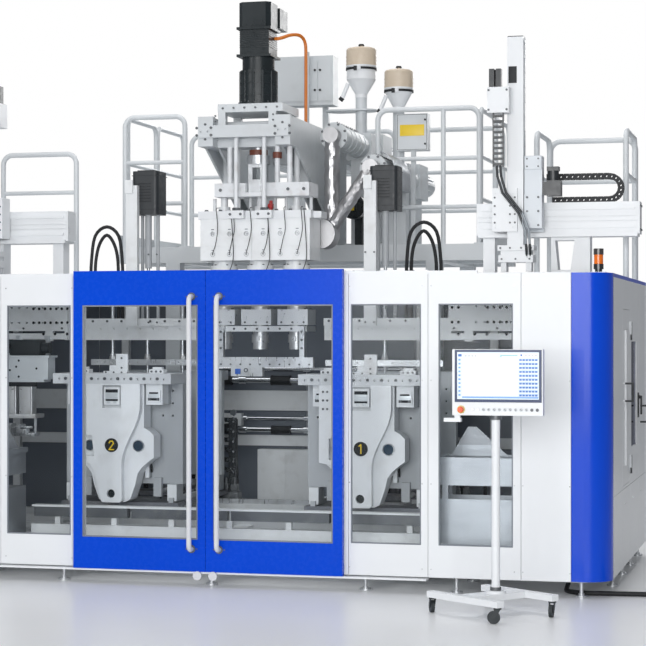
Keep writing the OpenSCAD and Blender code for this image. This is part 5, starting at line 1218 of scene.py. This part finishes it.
@part(slot_black)
def key_marks(bm):
    for k in range(2, 11):
        x = key_x(k)
        stroke(bm, (x - 0.0035, KEY_Z + 0.0035), (x + 0.0035, KEY_Z - 0.0035), HMI_Y - 0.0075, 0.0011, 0.0004)


@part(yellow)
def stop_collar(bm):
    add_ring(bm, (STOP_X, HMI_Y - 0.006, KEY_Z), FWD, 0.0195, 0.0240, 0.0025, 40)


@part(red, "e_stop")
def stop_rings(bm):
    add_ring(bm, (STOP_X, HMI_Y - 0.030, KEY_Z), FWD, 0.0055, 0.0140, 0.0022, 40)
    add_ring(bm, (STOP_X, HMI_Y - 0.020, KEY_Z), FWD, 0.0172, 0.0186, 0.005, 40)


@part(dark_steel)
def stand_collars(bm):
    add_ring(bm, (2.100, -2.176, 0.150), UP, 0.0262, 0.034, 0.020, 32)
    add_ring(bm, (2.100, -2.176, 1.185), UP, 0.0262, 0.036, 0.024, 32)


# Floor, background and lamps
floor_mesh = bpy.data.meshes.new("floor")
fb = bmesh.new()
bmesh.ops.create_grid(fb, x_segments=8, y_segments=8, size=40)
fb.to_mesh(floor_mesh)
fb.free()
floor = bpy.data.objects.new("floor", floor_mesh)
put(floor)
floor_mat, nt, shader = new_material("floor_pale")
fill(shader, {"Roughness": 0.32, "Specular IOR Level": 0.35})
col = mix(nt, spread(nt, noise(nt, 0.5, 3), 0.3, 0.7, 0, 1), (0.84, 0.85, 0.86), (0.88, 0.89, 0.90))
link(nt, col, shader.inputs["Base Color"])
far = node(nt, "VectorMath")
far.operation = "LENGTH"
link(nt, coords(nt), far.inputs[0])
pale = node(nt, "Emission")
fade = node(nt, "MixShader")
sight = node(nt, "LightPath")
link(nt, math_node(nt, "MULTIPLY", spread(nt, far.outputs["Value"], 6.0, 12.0, 0, 1),
    sight.outputs["Is Camera Ray"]), fade.inputs[0])
link(nt, shader.outputs[0], fade.inputs[1])
link(nt, pale.outputs[0], fade.inputs[2])
surface_in = [n for n in nt.nodes if n.type == "OUTPUT_MATERIAL"][0].inputs["Surface"]
link(nt, fade.outputs[0], surface_in)
floor_mesh.materials.append(floor_mat)

world = bpy.data.worlds.new("world")
scene.world = world
world.use_nodes = True
nt = world.node_tree
nt.nodes.clear()
out = node(nt, "OutputWorld")
path = node(nt, "LightPath")
lit = node(nt, "Background")
fill(lit, {"Color": (0.93, 0.95, 1.0, 1), "Strength": 0.25})
seen = node(nt, "Background")
fill(seen, {"Color": (1, 1, 1, 1), "Strength": 1.0})
blend = node(nt, "MixShader")
anyray = math_node(nt, "MAXIMUM", path.outputs["Is Camera Ray"], path.outputs["Is Transmission Ray"])
link(nt, anyray, blend.inputs[0])
link(nt, lit.outputs[0], blend.inputs[1])
link(nt, seen.outputs[0], blend.inputs[2])
link(nt, blend.outputs[0], out.inputs["Surface"])


def lamp(name, place, aim, size, power):
    data = bpy.data.lights.new(name, "AREA")
    data.shape = "RECTANGLE"
    data.size, data.size_y = size
    data.energy = power
    o = bpy.data.objects.new(name, data)
    o.location = place
    o.rotation_euler = (Vector(aim) - Vector(place)).to_track_quat("-Z", "Y").to_euler()
    put(o)


lamp("front", (2.5, -13.5, 3.2), (0, 0, 1.3), (10, 4.5), 985)
lamp("key", (-6.5, -9.0, 6.5), (0, 0, 1.6), (4, 4), 190)
lamp("top", (0, -0.3, 9.5), (0, 0, 0), (9, 6), 360)
lamp("rear", (0, 9.0, 6.0), (0, 0, 2), (8, 4), 420)

scene.view_settings.view_transform = "Standard"
